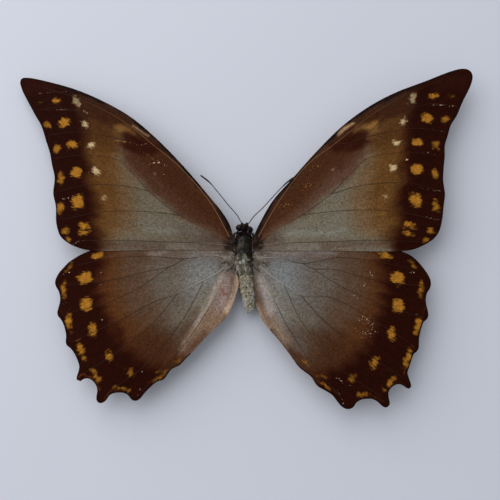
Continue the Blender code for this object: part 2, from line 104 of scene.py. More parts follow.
# Colours of the scales, from the wing roots to the margins
GREY_GREEN = paint(104, 96, 81)
BLUE_GREY = paint(116, 119, 120)
LAVENDER = paint(118, 106, 102)
ROOT_BROWN = paint(80, 64, 54)
HIND_GREY_LOW = paint(74, 62, 52)
CELL_RED = paint(66, 37, 20)
CELL_MAUVE = paint(82, 56, 43)
CELL_END = paint(48, 18, 8)
REAR_BROWN = paint(88, 70, 60)
TAN_GREY = paint(104, 77, 51)
TAN = paint(91, 60, 27)
TAN_LIGHT = paint(108, 75, 42)
TAN_DARK = paint(78, 48, 21)
OLIVE = paint(120, 85, 41)
OLIVE_LIGHT = paint(132, 95, 48)
SUBAPEX = paint(57, 30, 15)
BORDER = paint(34, 7, 2)
APEX = paint(43, 15, 8)
COSTA_BLACK = paint(24, 14, 13)
COSTA_BROWN = paint(50, 32, 23)
COSTA_STREAK = paint(160, 128, 96)
SILVER_BLUE = paint(126, 127, 122)
GREY_BROWN = paint(82, 62, 48)
WARM_BROWN = paint(75, 42, 19)
HIND_DARK_BROWN = paint(62, 35, 19)
HIND_GREY = paint(93, 84, 75)
ANAL_LAVENDER = paint(150, 142, 138)
ANAL_PINK = paint(130, 113, 108)
ANAL_BROWN = paint(124, 101, 84)
# Painted shade: a dark brown beside the hindwing's anal fold ridge and along its inner margin, partly the
# wing's own brown and partly the shade of the fold
FOLD_BROWN_AND_SHADE = paint(80, 56, 42)
BEIGE = paint(158, 133, 112)
# The left anal strip's beige with a painted highlight, paler than BEIGE where the strip faces the light
BEIGE_AND_HIGHLIGHT = paint(176, 154, 134)
# Pale along the hindwing's anal fold ridge: pale scales with a painted highlight on the ridge
FOLD_PALE_AND_HIGHLIGHT = paint(148, 139, 130)
RIDGE_PALE_AND_HIGHLIGHT = paint(158, 152, 144)
SILVER = paint(134, 127, 119)
WARM_LIGHT = paint(86, 51, 22)
RUFOUS = paint(120, 66, 24)
GOLD_VEIN = paint(120, 84, 54)
CELL_VEIN = paint(100, 64, 42)
REAR_VEIN = paint(112, 98, 90)
PALE_VEIN = paint(142, 138, 130)
ANAL_LINE = paint(84, 64, 54)
VEIN_BROWN = paint(52, 32, 22)
LUNULE = paint(138, 80, 26)
ORANGE_LIGHT = paint(163, 115, 38)
ORANGE_DARK = paint(134, 80, 19)
CREAM = paint(180, 157, 117)
MARGIN_LINE = paint(18, 7, 4)
SCRATCH = paint(190, 165, 140)
GOLD_FLECK = paint(170, 120, 58)
STAIN = paint(110, 62, 50)
UNDER_BROWN = paint(124, 92, 62)
UNDER_PALE = paint(156, 128, 96)
UNDER_DARK = paint(74, 48, 32)


@dataclass(frozen=True)
class Wash:
    """A soft stroke or patch of colour on a wing.

    Its line is read on the right wing, full strength as far as reach from it and fading over
    feather. A closed line fills its inside. A wash of one side alone is read on that side.
    """

    colour: Colour
    line: tuple[Point, ...]
    reach: float = 0.0
    feather: float = 3.0
    strength: float = 1.0
    closed: bool = False
    side: Side | None = None

    def mask(self, points: Array, line: Array) -> Array:
        """How strongly the wash covers each point, from 0 to 1.

        Args:
            points: plan points, one a row.
            line: the wash's line as it lies on the wing that is painted.

        Returns:
            One share for each point.
        """
        if self.closed:
            line = np.vstack([line, line[:1]])
        away = distance_to_run(points, line)
        if self.closed:
            away = np.where(inside(points, line[:-1]), -away, away)
        return self.strength * (1.0 - smooth_step(self.reach - self.feather / 2,
                                                  self.reach + self.feather / 2, away))


@dataclass(frozen=True)
class Spot:
    """An orange or cream mark: its centre on each side's wing, its size and its turn in degrees."""

    right: Point
    left: Point
    width: float
    height: float
    tilt: float = 0.0
    strength: float = 1.0

    SQUARENESS = 2.4

    def depth(self, points: Array, side: Side) -> Array:
        """How deep each point lies inside the mark, in mm, and below 0 outside it."""
        centre = self.right if side is Side.RIGHT else self.left
        turn = math.radians(self.tilt) * side.outward
        x, y = (points - centre).T
        along = x * math.cos(turn) + y * math.sin(turn)
        across = y * math.cos(turn) - x * math.sin(turn)
        share = (np.abs(along / (self.width / 2)) ** self.SQUARENESS
                 + np.abs(across / (self.height / 2)) ** self.SQUARENESS) ** (1 / self.SQUARENESS)
        return (1.0 - share) * min(self.width, self.height) / 2


@dataclass(frozen=True)
class Vein:
    """A vein: its route on each side's wing, its thickness at the root end and its own colour."""

    right: tuple[Point, ...]
    left: tuple[Point, ...]
    girth: float = 0.17
    colour: Colour = PALE_VEIN
    pale_to: float = 20.0

    def route(self, side: Side) -> Array:
        """The route on one side, as a smooth line of points."""
        return spline(self.right if side is Side.RIGHT else self.left, 1.0)


@dataclass(frozen=True)
class Pattern:
    """What is painted on one pair of wings, above and below."""

    ground: Colour
    washes: tuple[Wash, ...]
    orange: tuple[Spot, ...]
    cream: tuple[Spot, ...]
    wear: tuple[Wash, ...]
    anchors: tuple[tuple[Point, Point], ...]
    outer_from: float
    under_ground: Colour
    under_washes: tuple[Wash, ...]

    def landmarks(self) -> tuple[Array, Array]:
        """Places that can be told on both wings, and how far each lies off its mirror place."""
        pairs = [(mark.right, mark.left) for mark in self.orange + self.cream] + list(self.anchors)
        right, left = np.array(pairs).transpose(1, 0, 2)
        return right, left * (-1, 1) - right

    def placed(self, wash: Wash, side: Side) -> Array:
        """A wash's line as it lies on one side's wing.

        Args:
            wash: the wash.
            side: the side that is painted.

        Returns:
            The points, one a row. A line that is read on the right wing is mirrored on the left
            one, where it follows the marks near it.
        """
        points = np.array(wash.line, float)
        if side is Side.RIGHT or wash.side is Side.LEFT:
            return points
        right, shift = self.landmarks()
        away = np.linalg.norm(points[:, None] - right[None], axis=2)
        weight = 1.0 / (away ** 2 + 4.0)
        moved = points + (weight[..., None] * shift[None]).sum(1) / weight.sum(1)[:, None]
        return moved * (-1, 1)


def one_side(side: Side, *rows: tuple) -> tuple[Wash, ...]:
    """Washes of one side alone: each row gives a wash's other values in their order."""
    return tuple(Wash(*row, side=side) for row in rows)


def worn(side: Side, colour: Colour, *rows: tuple) -> tuple[Wash, ...]:
    """Scratches or flecks of one colour on one side's wing.

    Args:
        side: the side that they are on.
        colour: what shows where the scales are gone.
        *rows: for each mark its reach, feather and strength, and then the points of its line.

    Returns:
        The marks.
    """
    return one_side(side, *((colour, row[3:], *row[:3]) for row in rows))


FOREWING_MARGIN = {
    Side.RIGHT: (
        (3, 3.8), (5, 8.4), (10, 17.5), (17, 25.8), (25.3, 35.5), (35.3, 45.8), (45.3, 53.4),
        (54.7, 58.6), (65.3, 62.9), (74.7, 66.8), (78.2, 67.8), (80.6, 67.8), (82.2, 66.6), (82.6, 64.6),
        (81.6, 61.2), (78.2, 54.6), (75.9, 49.6), (73.5, 45.8), (72.2, 42), (70.9, 38.1), (70.6, 34),
        (70, 29.9), (69.5, 25.2), (69.8, 19.9), (69.1, 15.8), (68.3, 11), (67.1, 6.9), (65, 4),
        (61.2, 1.6), (57.6, 0.2), (52, -0.4), (30, -0.3), (3, -0.2),
    ),
    Side.LEFT: (
        (-3, 3), (-4.8, 9.1), (-7.6, 13.8), (-10.6, 17.6), (-20, 29.1), (-30, 39.9),
        (-40, 48.8), (-50, 54.9), (-60, 59.5), (-70, 62.6), (-77.9, 64.3), (-80, 64.1),
        (-80.6, 62.8), (-79.7, 59.6), (-77.9, 56.1), (-74.4, 49.9), (-71.8, 45.5), (-69.7, 39.6),
        (-68.2, 35.5), (-67.1, 30.8), (-65.9, 26.1), (-66, 20.2), (-64.8, 15.5), (-64.3, 9.6),
        (-62.6, 4.9), (-60, 2.6), (-57, 1.1), (-52.4, -0.1), (-30, 0), (-3, 0),
    ),
}

HINDWING_MARGIN = {
    Side.RIGHT: (
        (3, -0.9), (8, 1.4), (20, 2.6), (35, 3), (48, 1.2), (55.9, -1.4),
        (58.1, -3), (59.9, -5), (61.8, -7.8), (62.9, -10), (63.1, -11.6), (62.6, -13.4),
        (61.6, -14.9), (61.1, -16.6), (61.1, -18.8), (61.6, -21.8), (61.5, -23), (60.9, -23.9),
        (59.9, -24.8), (59.1, -26.6), (58.2, -29.6), (57.9, -32.2), (57.7, -33.7), (57.1, -34.5),
        (56, -35.5), (55.1, -37.6), (54.3, -39.8), (53.7, -41.4), (54.1, -43.4), (54.7, -45.7),
        (54.4, -46.6), (53.6, -46.7), (52.4, -45.9), (51.1, -45.2), (49.6, -45.4), (48.1, -46.4),
        (47.2, -47.8), (47.2, -49.6), (47.5, -51.2), (47, -52.3), (46, -52.7), (45, -52.2),
        (43.5, -50.8), (42, -50), (40, -49.9), (38.2, -50.2), (36.7, -51.1), (35.6, -52.6),
        (34.7, -53.1), (33.2, -53.1), (31.9, -52.4), (30.6, -50.9), (29, -48.8), (26.6, -47.2),
        (24.3, -45.9), (23.3, -44.6), (22.2, -42.8), (20, -41.1), (18.3, -39.7), (15, -35.1),
        (11.2, -30.2), (8.3, -26.8), (6.3, -24), (4.9, -20.8), (4.1, -18), (3.7, -14),
        (3.2, -10), (3, -7),
    ),
    Side.LEFT: (
        (-3, -0.9), (-8, 1.4), (-20, 2.6), (-35, 3), (-47, 1.6), (-55, -1.5),
        (-57.7, -3.2), (-59.3, -4.4), (-60.8, -6.1), (-62.4, -8.2), (-63.2, -10), (-63.4, -11.4),
        (-63, -12.7), (-62.1, -14.1), (-61.5, -15.8), (-61.3, -17.6), (-61.7, -19.8),
        (-62, -21.5), (-61.8, -22.6), (-60.9, -23.6), (-60, -24.9), (-59.2, -26.8),
        (-58.6, -29.3), (-58.6, -31.5), (-58.2, -32.5), (-57, -33.4), (-55.6, -35.1),
        (-54.5, -37.2), (-53.7, -39.4), (-53.9, -41.2), (-54.4, -43.2), (-54.1, -44.2),
        (-53.4, -44.4), (-52.2, -43.6), (-51, -43.3), (-49.5, -43.8), (-48.2, -45.1),
        (-47.4, -47), (-47.6, -49.2), (-47.5, -50.5), (-46.8, -51.2), (-45.6, -51.2),
        (-44.4, -50.3), (-43.2, -48.6), (-41.7, -48), (-38.8, -48), (-37.4, -48.7),
        (-36.2, -50.1), (-35, -50.6), (-33.5, -49.9), (-32.2, -48.3), (-30.3, -46.2),
        (-27.9, -44.3), (-26.2, -43.8), (-25.2, -42.8), (-23.8, -40.7), (-22.5, -39.8),
        (-21, -39.1), (-18.7, -36.7), (-16, -33.9), (-12, -29.3), (-8, -25.5),
        (-6, -23.5), (-4.3, -20.5), (-3, -17), (-1.9, -13.5), (-1.6, -11), (-2.1, -8.8),
        (-3, -6.4),
    ),
}

FOREWING_VEINS = (
    Vein(((5, 4.6), (12, 17), (20, 28.3), (25, 33.3), (32, 38.6), (38, 43.6),
          (47, 50.8), (60, 58.4), (72, 63.6)),
         ((-4.8, 4.6), (-11.5, 17), (-19, 26.4), (-25, 32.6), (-31, 37.5), (-38, 43.6),
          (-47, 50), (-60, 56.4), (-72, 60.4)), 0.15, GOLD_VEIN, 90),
    Vein(((32, 38.6), (36, 38.9), (42, 41), (50, 48.5), (60, 52.4), (68, 54.2),
          (76, 53.2)),
         ((-31, 37.5), (-35.5, 38), (-41, 40), (-49, 47), (-58.5, 51), (-67, 52.6),
          (-73.4, 51.6)), 0.13),
    Vein(((42, 41), (50, 43), (62, 44.6), (71, 43.2)),
         ((-41, 40), (-49, 41.8), (-60, 43.2), (-68.8, 42)), 0.12),
    Vein(((5.2, 2.9), (10, 6.8), (20, 12.5), (30, 20), (38, 28.5), (43, 33),
          (50, 35), (60, 35.5), (68.4, 34.2)),
         ((-5.2, 2.9), (-10.5, 6.8), (-22, 12.5), (-33, 21.2), (-38.5, 27.5), (-43, 32.2),
          (-50, 34), (-58, 34.4), (-66, 33.2)), 0.14, CELL_VEIN, 26),
    Vein(((30, 20), (40, 23), (50, 24.2), (58, 24), (67.6, 21.6)),
         ((-33, 21.2), (-41, 23), (-49, 23.6), (-56, 23.2), (-64, 21)), 0.13),
    Vein(((20, 12.5), (35, 14.1), (50, 14), (65.8, 11)),
         ((-22, 12.5), (-35, 13.8), (-49, 13.6), (-62.2, 10.8)), 0.13),
    Vein(((5.4, 1.6), (15, 2.5), (30, 3), (45, 3.5), (60, 2.9)),
         ((-5.4, 1.6), (-15, 2.5), (-30, 3), (-45, 3.5), (-57, 3.1)), 0.15, REAR_VEIN),
)

HINDWING_VEINS = (
    Vein(((5.2, -3), (12, -2.6), (20, -4.7), (32, -2.6), (45, -4), (57, -6.6)),
         ((-5.2, -3), (-10, -1.8), (-20, -3), (-32, -2.2), (-45, -2.9), (-56.6, -5.4)), 0.16,
         PALE_VEIN, 18),
    Vein(((20, -4.7), (23.5, -6.5), (30, -6.7), (45, -10.6), (60, -12.6)),
         ((-20, -3), (-25, -5.8), (-33, -7.5), (-45, -10.5), (-60.4, -12.2)), 0.13),
    Vein(((23.5, -6.5), (30, -11), (45, -18.4), (59.6, -23.2)),
         ((-25, -5.8), (-35, -13), (-45, -18), (-59.8, -22.2)), 0.12),
    Vein(((5.2, -5.2), (10, -9.5), (15, -12.7), (19, -15.5), (29, -16.4), (40, -22),
          (56.4, -32.8)),
         ((-5.5, -5), (-9, -8.2), (-14, -10.8), (-22, -15), (-30, -18), (-42, -24.5),
          (-56.6, -31.4)), 0.24, PALE_VEIN, 34),
    Vein(((19, -15.5), (27, -24.5), (38, -33.5), (52.8, -43.6)),
         ((-22, -15), (-30, -25), (-40, -33.6), (-52.4, -42)), 0.13),
    Vein(((13.5, -11.8), (19, -24), (30, -38.5), (45, -49.4)),
         ((-13.5, -11), (-19, -22), (-30, -37), (-44.6, -48.6)), 0.13),
    Vein(((6.6, -9), (12, -21), (20, -35), (32.4, -50.4)),
         ((-6.2, -8.6), (-11, -19), (-20, -33), (-33.2, -47.8)), 0.17, PALE_VEIN, 26),
)

FOREWING_PATTERN = Pattern(
    ground=GREY_GREEN,
    washes=(
        Wash(BLUE_GREY, ((12, 5), (24, 8), (34, 12)), 1.5, 6, 0.15),
        Wash(SILVER_BLUE, ((12, 5.4), (22, 6.4), (34, 7)), 0.5, 3.6, 0.6),
        Wash(LAVENDER, ((6, 1), (26, 1.2)), 0.9, 2, 0.5),
        Wash(REAR_BROWN, ((28, 1.2), (50, 2.2)), 1.4, 4, 0.8),
        Wash(ROOT_BROWN, ((-10, 4), (-20, 6)), 2.5, 9, 0.6, side=Side.LEFT),
        Wash(ROOT_BROWN, ((3, 2), (11, 4)), 2.5, 8, 0.9),
        Wash(TAN_GREY, ((36, 18), (39, 28), (44, 36), (50, 40), (50, 5), (38, 7)), 0, 8, 0.8, True),
        Wash(TAN, ((43, 18), (45, 28), (46, 36), (48, 44), (60, 50), (60, 4), (48, 5), (45, 10)),
             0, 7, 1, True),
        Wash(TAN_DARK, ((43, 36), (50, 37), (58, 40), (60, 55), (46, 51), (42, 45)), 0, 5, 0.9, True),
        Wash(TAN_DARK, ((46, 2), (50, 9), (62, 9), (62, -2)), 0, 6, 0.7, True),
        Wash(TAN_LIGHT, ((44.6, 6), (47.2, 12), (48.4, 18)), 1, 6, 0.55),
        Wash(SUBAPEX, ((2, 2), (10, 28), (30, 50), (50, 66), (70, 72), (66, 58), (57, 50.5), (50, 48.2),
                       (44, 44.6), (38, 39), (30, 33), (18, 20), (7, 5)), 0, 3, 1, True),
        Wash(SUBAPEX, ((44, 47), (50, 50), (58, 52), (60, 46)), 1, 6, 0.55),
        Wash(CELL_MAUVE, ((5, 4), (11, 18), (31, 39), (43, 42), (42.6, 33.4), (36, 26), (30, 20.5),
                          (20, 12.8), (5, 3.2)), 0, 4.2, 1, True),
        Wash(CELL_RED, ((3, 4), (11, 18), (31, 40), (42, 42), (40.5, 36), (30, 27), (20, 17), (7, 6)),
             0, 5, 1, True),
        Wash(CELL_RED, ((-9, 7), (-20, 14), (-31, 23.6), (-39, 32)), 1.6, 5, 0.6, side=Side.LEFT),
        Wash(CELL_END, ((29, 38), (37, 42.6), (42.2, 42), (44.4, 39.4), (40.8, 37), (33, 35)),
             0, 2.6, 1, True),
        Wash(BORDER, ((36.5, 39.6), (40, 42.4), (42.4, 42.2)), 0.8, 1.6, 0.5),
        Wash(OLIVE, ((40.4, 44.2), (43.4, 44.8), (47, 45.8)), 0.8, 4.4, 0.9),
        Wash(OLIVE_LIGHT, ((43.4, 44.4), (46, 45)), 1.3, 3.4, 0.8),
        Wash(SUBAPEX, ((-48, 44), (-52, 46)), 2.5, 7, 0.5, side=Side.LEFT),
        Wash(TAN_DARK, ((51, 47), (54, 47), (54, 40), (54.4, 30), (53, 20), (51, 12)), 0.8, 5, 0.6),
        Wash(BORDER, ((62, 61), (59.5, 54), (58.2, 49), (56, 39), (55.6, 29), (54.4, 22), (53, 16),
                      (52.4, 9), (50, 3), (50, -4), (80, -4), (90, 70), (70, 70)), 0, 6.5, 1, True),
        Wash(APEX, ((70, 62), (79, 64), (80, 60)), 2, 6, 0.7),
        Wash(COSTA_BROWN, ((5, 6), (12, 18.5), (20, 29), (33, 42), (46, 52), (58, 58.5)), 0.5, 1.4, 0.85),
        Wash(COSTA_STREAK, ((33.4, 42.3), (35.6, 44.4), (38.6, 46.4)), 0.5, 1, 0.95, side=Side.RIGHT),
        Wash(COSTA_STREAK, ((-33.6, 41.9), (-35.8, 43.6), (-38.8, 45.4)), 0.3, 1, 0.9, side=Side.LEFT),
        Wash(COSTA_BLACK, ((3.2, 4.6), (4.8, 9), (9.6, 17.9), (16.6, 26.3), (25, 36), (35, 46.2),
                           (45, 53.8), (54.6, 59), (65.2, 63.3), (75, 67)), 1.1, 0.9, 1),
        Wash(CREAM, ((31.5, 28.8), (31.5, 29)), 0.2, 0.7, 0.8),
    ),
    orange=(
        Spot((65.2, 48.5), (-63.7, 46.8), 4.4, 3.8, -20),
        Spot((61.3, 39.3), (-60.3, 38.3), 4.6, 3),
        Spot((60.5, 29.2), (-58.3, 28.1), 4.5, 4.2),
        Spot((59.5, 18), (-57.3, 17.3), 4.5, 5.2),
        Spot((57, 8.7), (-54.8, 8.6), 4.3, 2.5, -10),
        Spot((56.4, 5.7), (-54.7, 6), 3.7, 1.7, -12),
        Spot((68, 57.2), (-67.2, 55.1), 3.2, 2.1, 15),
        Spot((75, 57), (-72.9, 54.8), 2, 1.3, 0, 0.5),
        Spot((71.8, 48.1), (-69.5, 46), 3, 2.3, 20, 0.85),
        Spot((67.8, 38.4), (-65.9, 36.9), 2.5, 3.3, 0, 0.85),
        Spot((66.8, 27.6), (-63.8, 25.9), 2.3, 4.1, 8, 0.85),
        Spot((66.5, 15.6), (-63.2, 15.1), 2.5, 4.3, 0, 0.85),
        Spot((64.2, 6.8), (-61, 6.7), 2.5, 2.7, 0, 0.85),
        Spot((62, 3.5), (-59.7, 3.7), 2.1, 1.6, 25, 0.85),
    ),
    cream=(
        Spot((60.3, 56.3), (-59.8, 55), 2.5, 4.5, -15, 0.55),
        Spot((56.5, 47.2), (-56.2, 46.2), 1.8, 2.6, -35),
        Spot((54.2, 39.3), (-54, 38.2), 3.2, 2.3),
        Spot((52.3, 29.7), (-51.5, 28.6), 3.3, 2.6, 25),
        Spot((49.3, 19.2), (-48.4, 18.8), 1.9, 1.7, 0, 0.6),
    ),
    wear=(
        *worn(Side.RIGHT, SCRATCH,
            (0.1, 0.5, 0.75, (66, 53.6), (71, 53.6), (77, 53)),
            (0.1, 0.5, 0.65, (61, 44.2), (66, 44.4), (72, 43.2)),
            (0.1, 0.5, 0.65, (60, 35.4), (65, 35.6), (68, 34.4)), (0.3, 0.5, 0.8, (57, 32.8), (57.6, 32.8)),
            (0.2, 0.5, 0.6, (62, 11.8), (67, 10.6)), (0.2, 0.5, 0.5, (61, 22.6), (68.6, 21))),
        *worn(Side.RIGHT, GOLD_FLECK,
            (1.2, 2.5, 0.3, (24, 29), (26, 31)), (1.2, 2.5, 0.32, (21, 22), (23, 23.5)),
            (1, 2.5, 0.38, (13, 15), (15.4, 16.6)), (8, 8, 0.12, (40, 14), (52, 22))),
        *worn(Side.RIGHT, SCRATCH,
            (0.3, 0.8, 0.5, (30, 0.4), (36, 0.8))),
        *worn(Side.LEFT, GOLD_FLECK,
            (0.1, 0.5, 0.9, (-45.5, 40.1), (-41, 39.4), (-37, 38.2), (-34.5, 38.6))),
        *worn(Side.LEFT, SCRATCH,
            (0.15, 0.5, 0.8, (-33, 31), (-31, 31.8), (-28.6, 31.2)),
            (0.1, 0.5, 0.7, (-36, 36), (-32, 33.6), (-27, 30.4)),
            (0.15, 0.6, 0.6, (-75, 57.8), (-68, 58.8), (-62, 58.6)),
            (0.2, 0.5, 0.5, (-71, 51.6), (-65, 51.7), (-60.5, 51.4)),
            (0.15, 0.5, 0.8, (-57.2, 51.4), (-55.6, 50.4)),
            (0.2, 0.6, 0.7, (-63, 18), (-61, 18.5), (-58, 19.8)),
            (0.1, 0.4, 0.8, (-58.2, 1.9), (-56.8, 2.9), (-54.6, 3.4)),
            (0.2, 0.6, 0.9, (-27.9, 27.2), (-27.6, 27.2))),
    ),
    anchors=(((3.5, 1.5), (-3.5, 1.5)), ((12, 17), (-11.5, 17)), ((32, 38.6), (-31, 37.5)),
             ((42, 41), (-41, 40)), ((20, 12.5), (-22, 12.5)), ((30, 20), (-33, 21.2)),
             ((43, 33), (-43, 32.2)), ((45.3, 53.4), (-45, 52.1)), ((30, 0), (-30, 0)),
             ((82, 66), (-80.4, 63.6)), ((25.3, 35.5), (-26, 35.7)), ((65.3, 62.9), (-64, 60.8))),
    outer_from=56,
    under_ground=UNDER_BROWN,
    under_washes=(
        Wash(UNDER_PALE, ((6, 4), (30, 14), (40, 22)), 6, 8, 0.6),
        Wash(UNDER_DARK, ((24, 33), (30, 20), (28, 2)), 0.5, 1.2, 0.8),
        Wash(UNDER_DARK, ((42, 51), (47, 34), (44, 2)), 0.7, 1.6, 0.8),
        Wash(UNDER_DARK, ((66, 63), (60, 40), (56, 4)), 1.2, 3, 0.9),
        Wash(UNDER_PALE, ((52, 56), (53, 36), (50, 4)), 1.6, 3, 0.8),
    ),
)

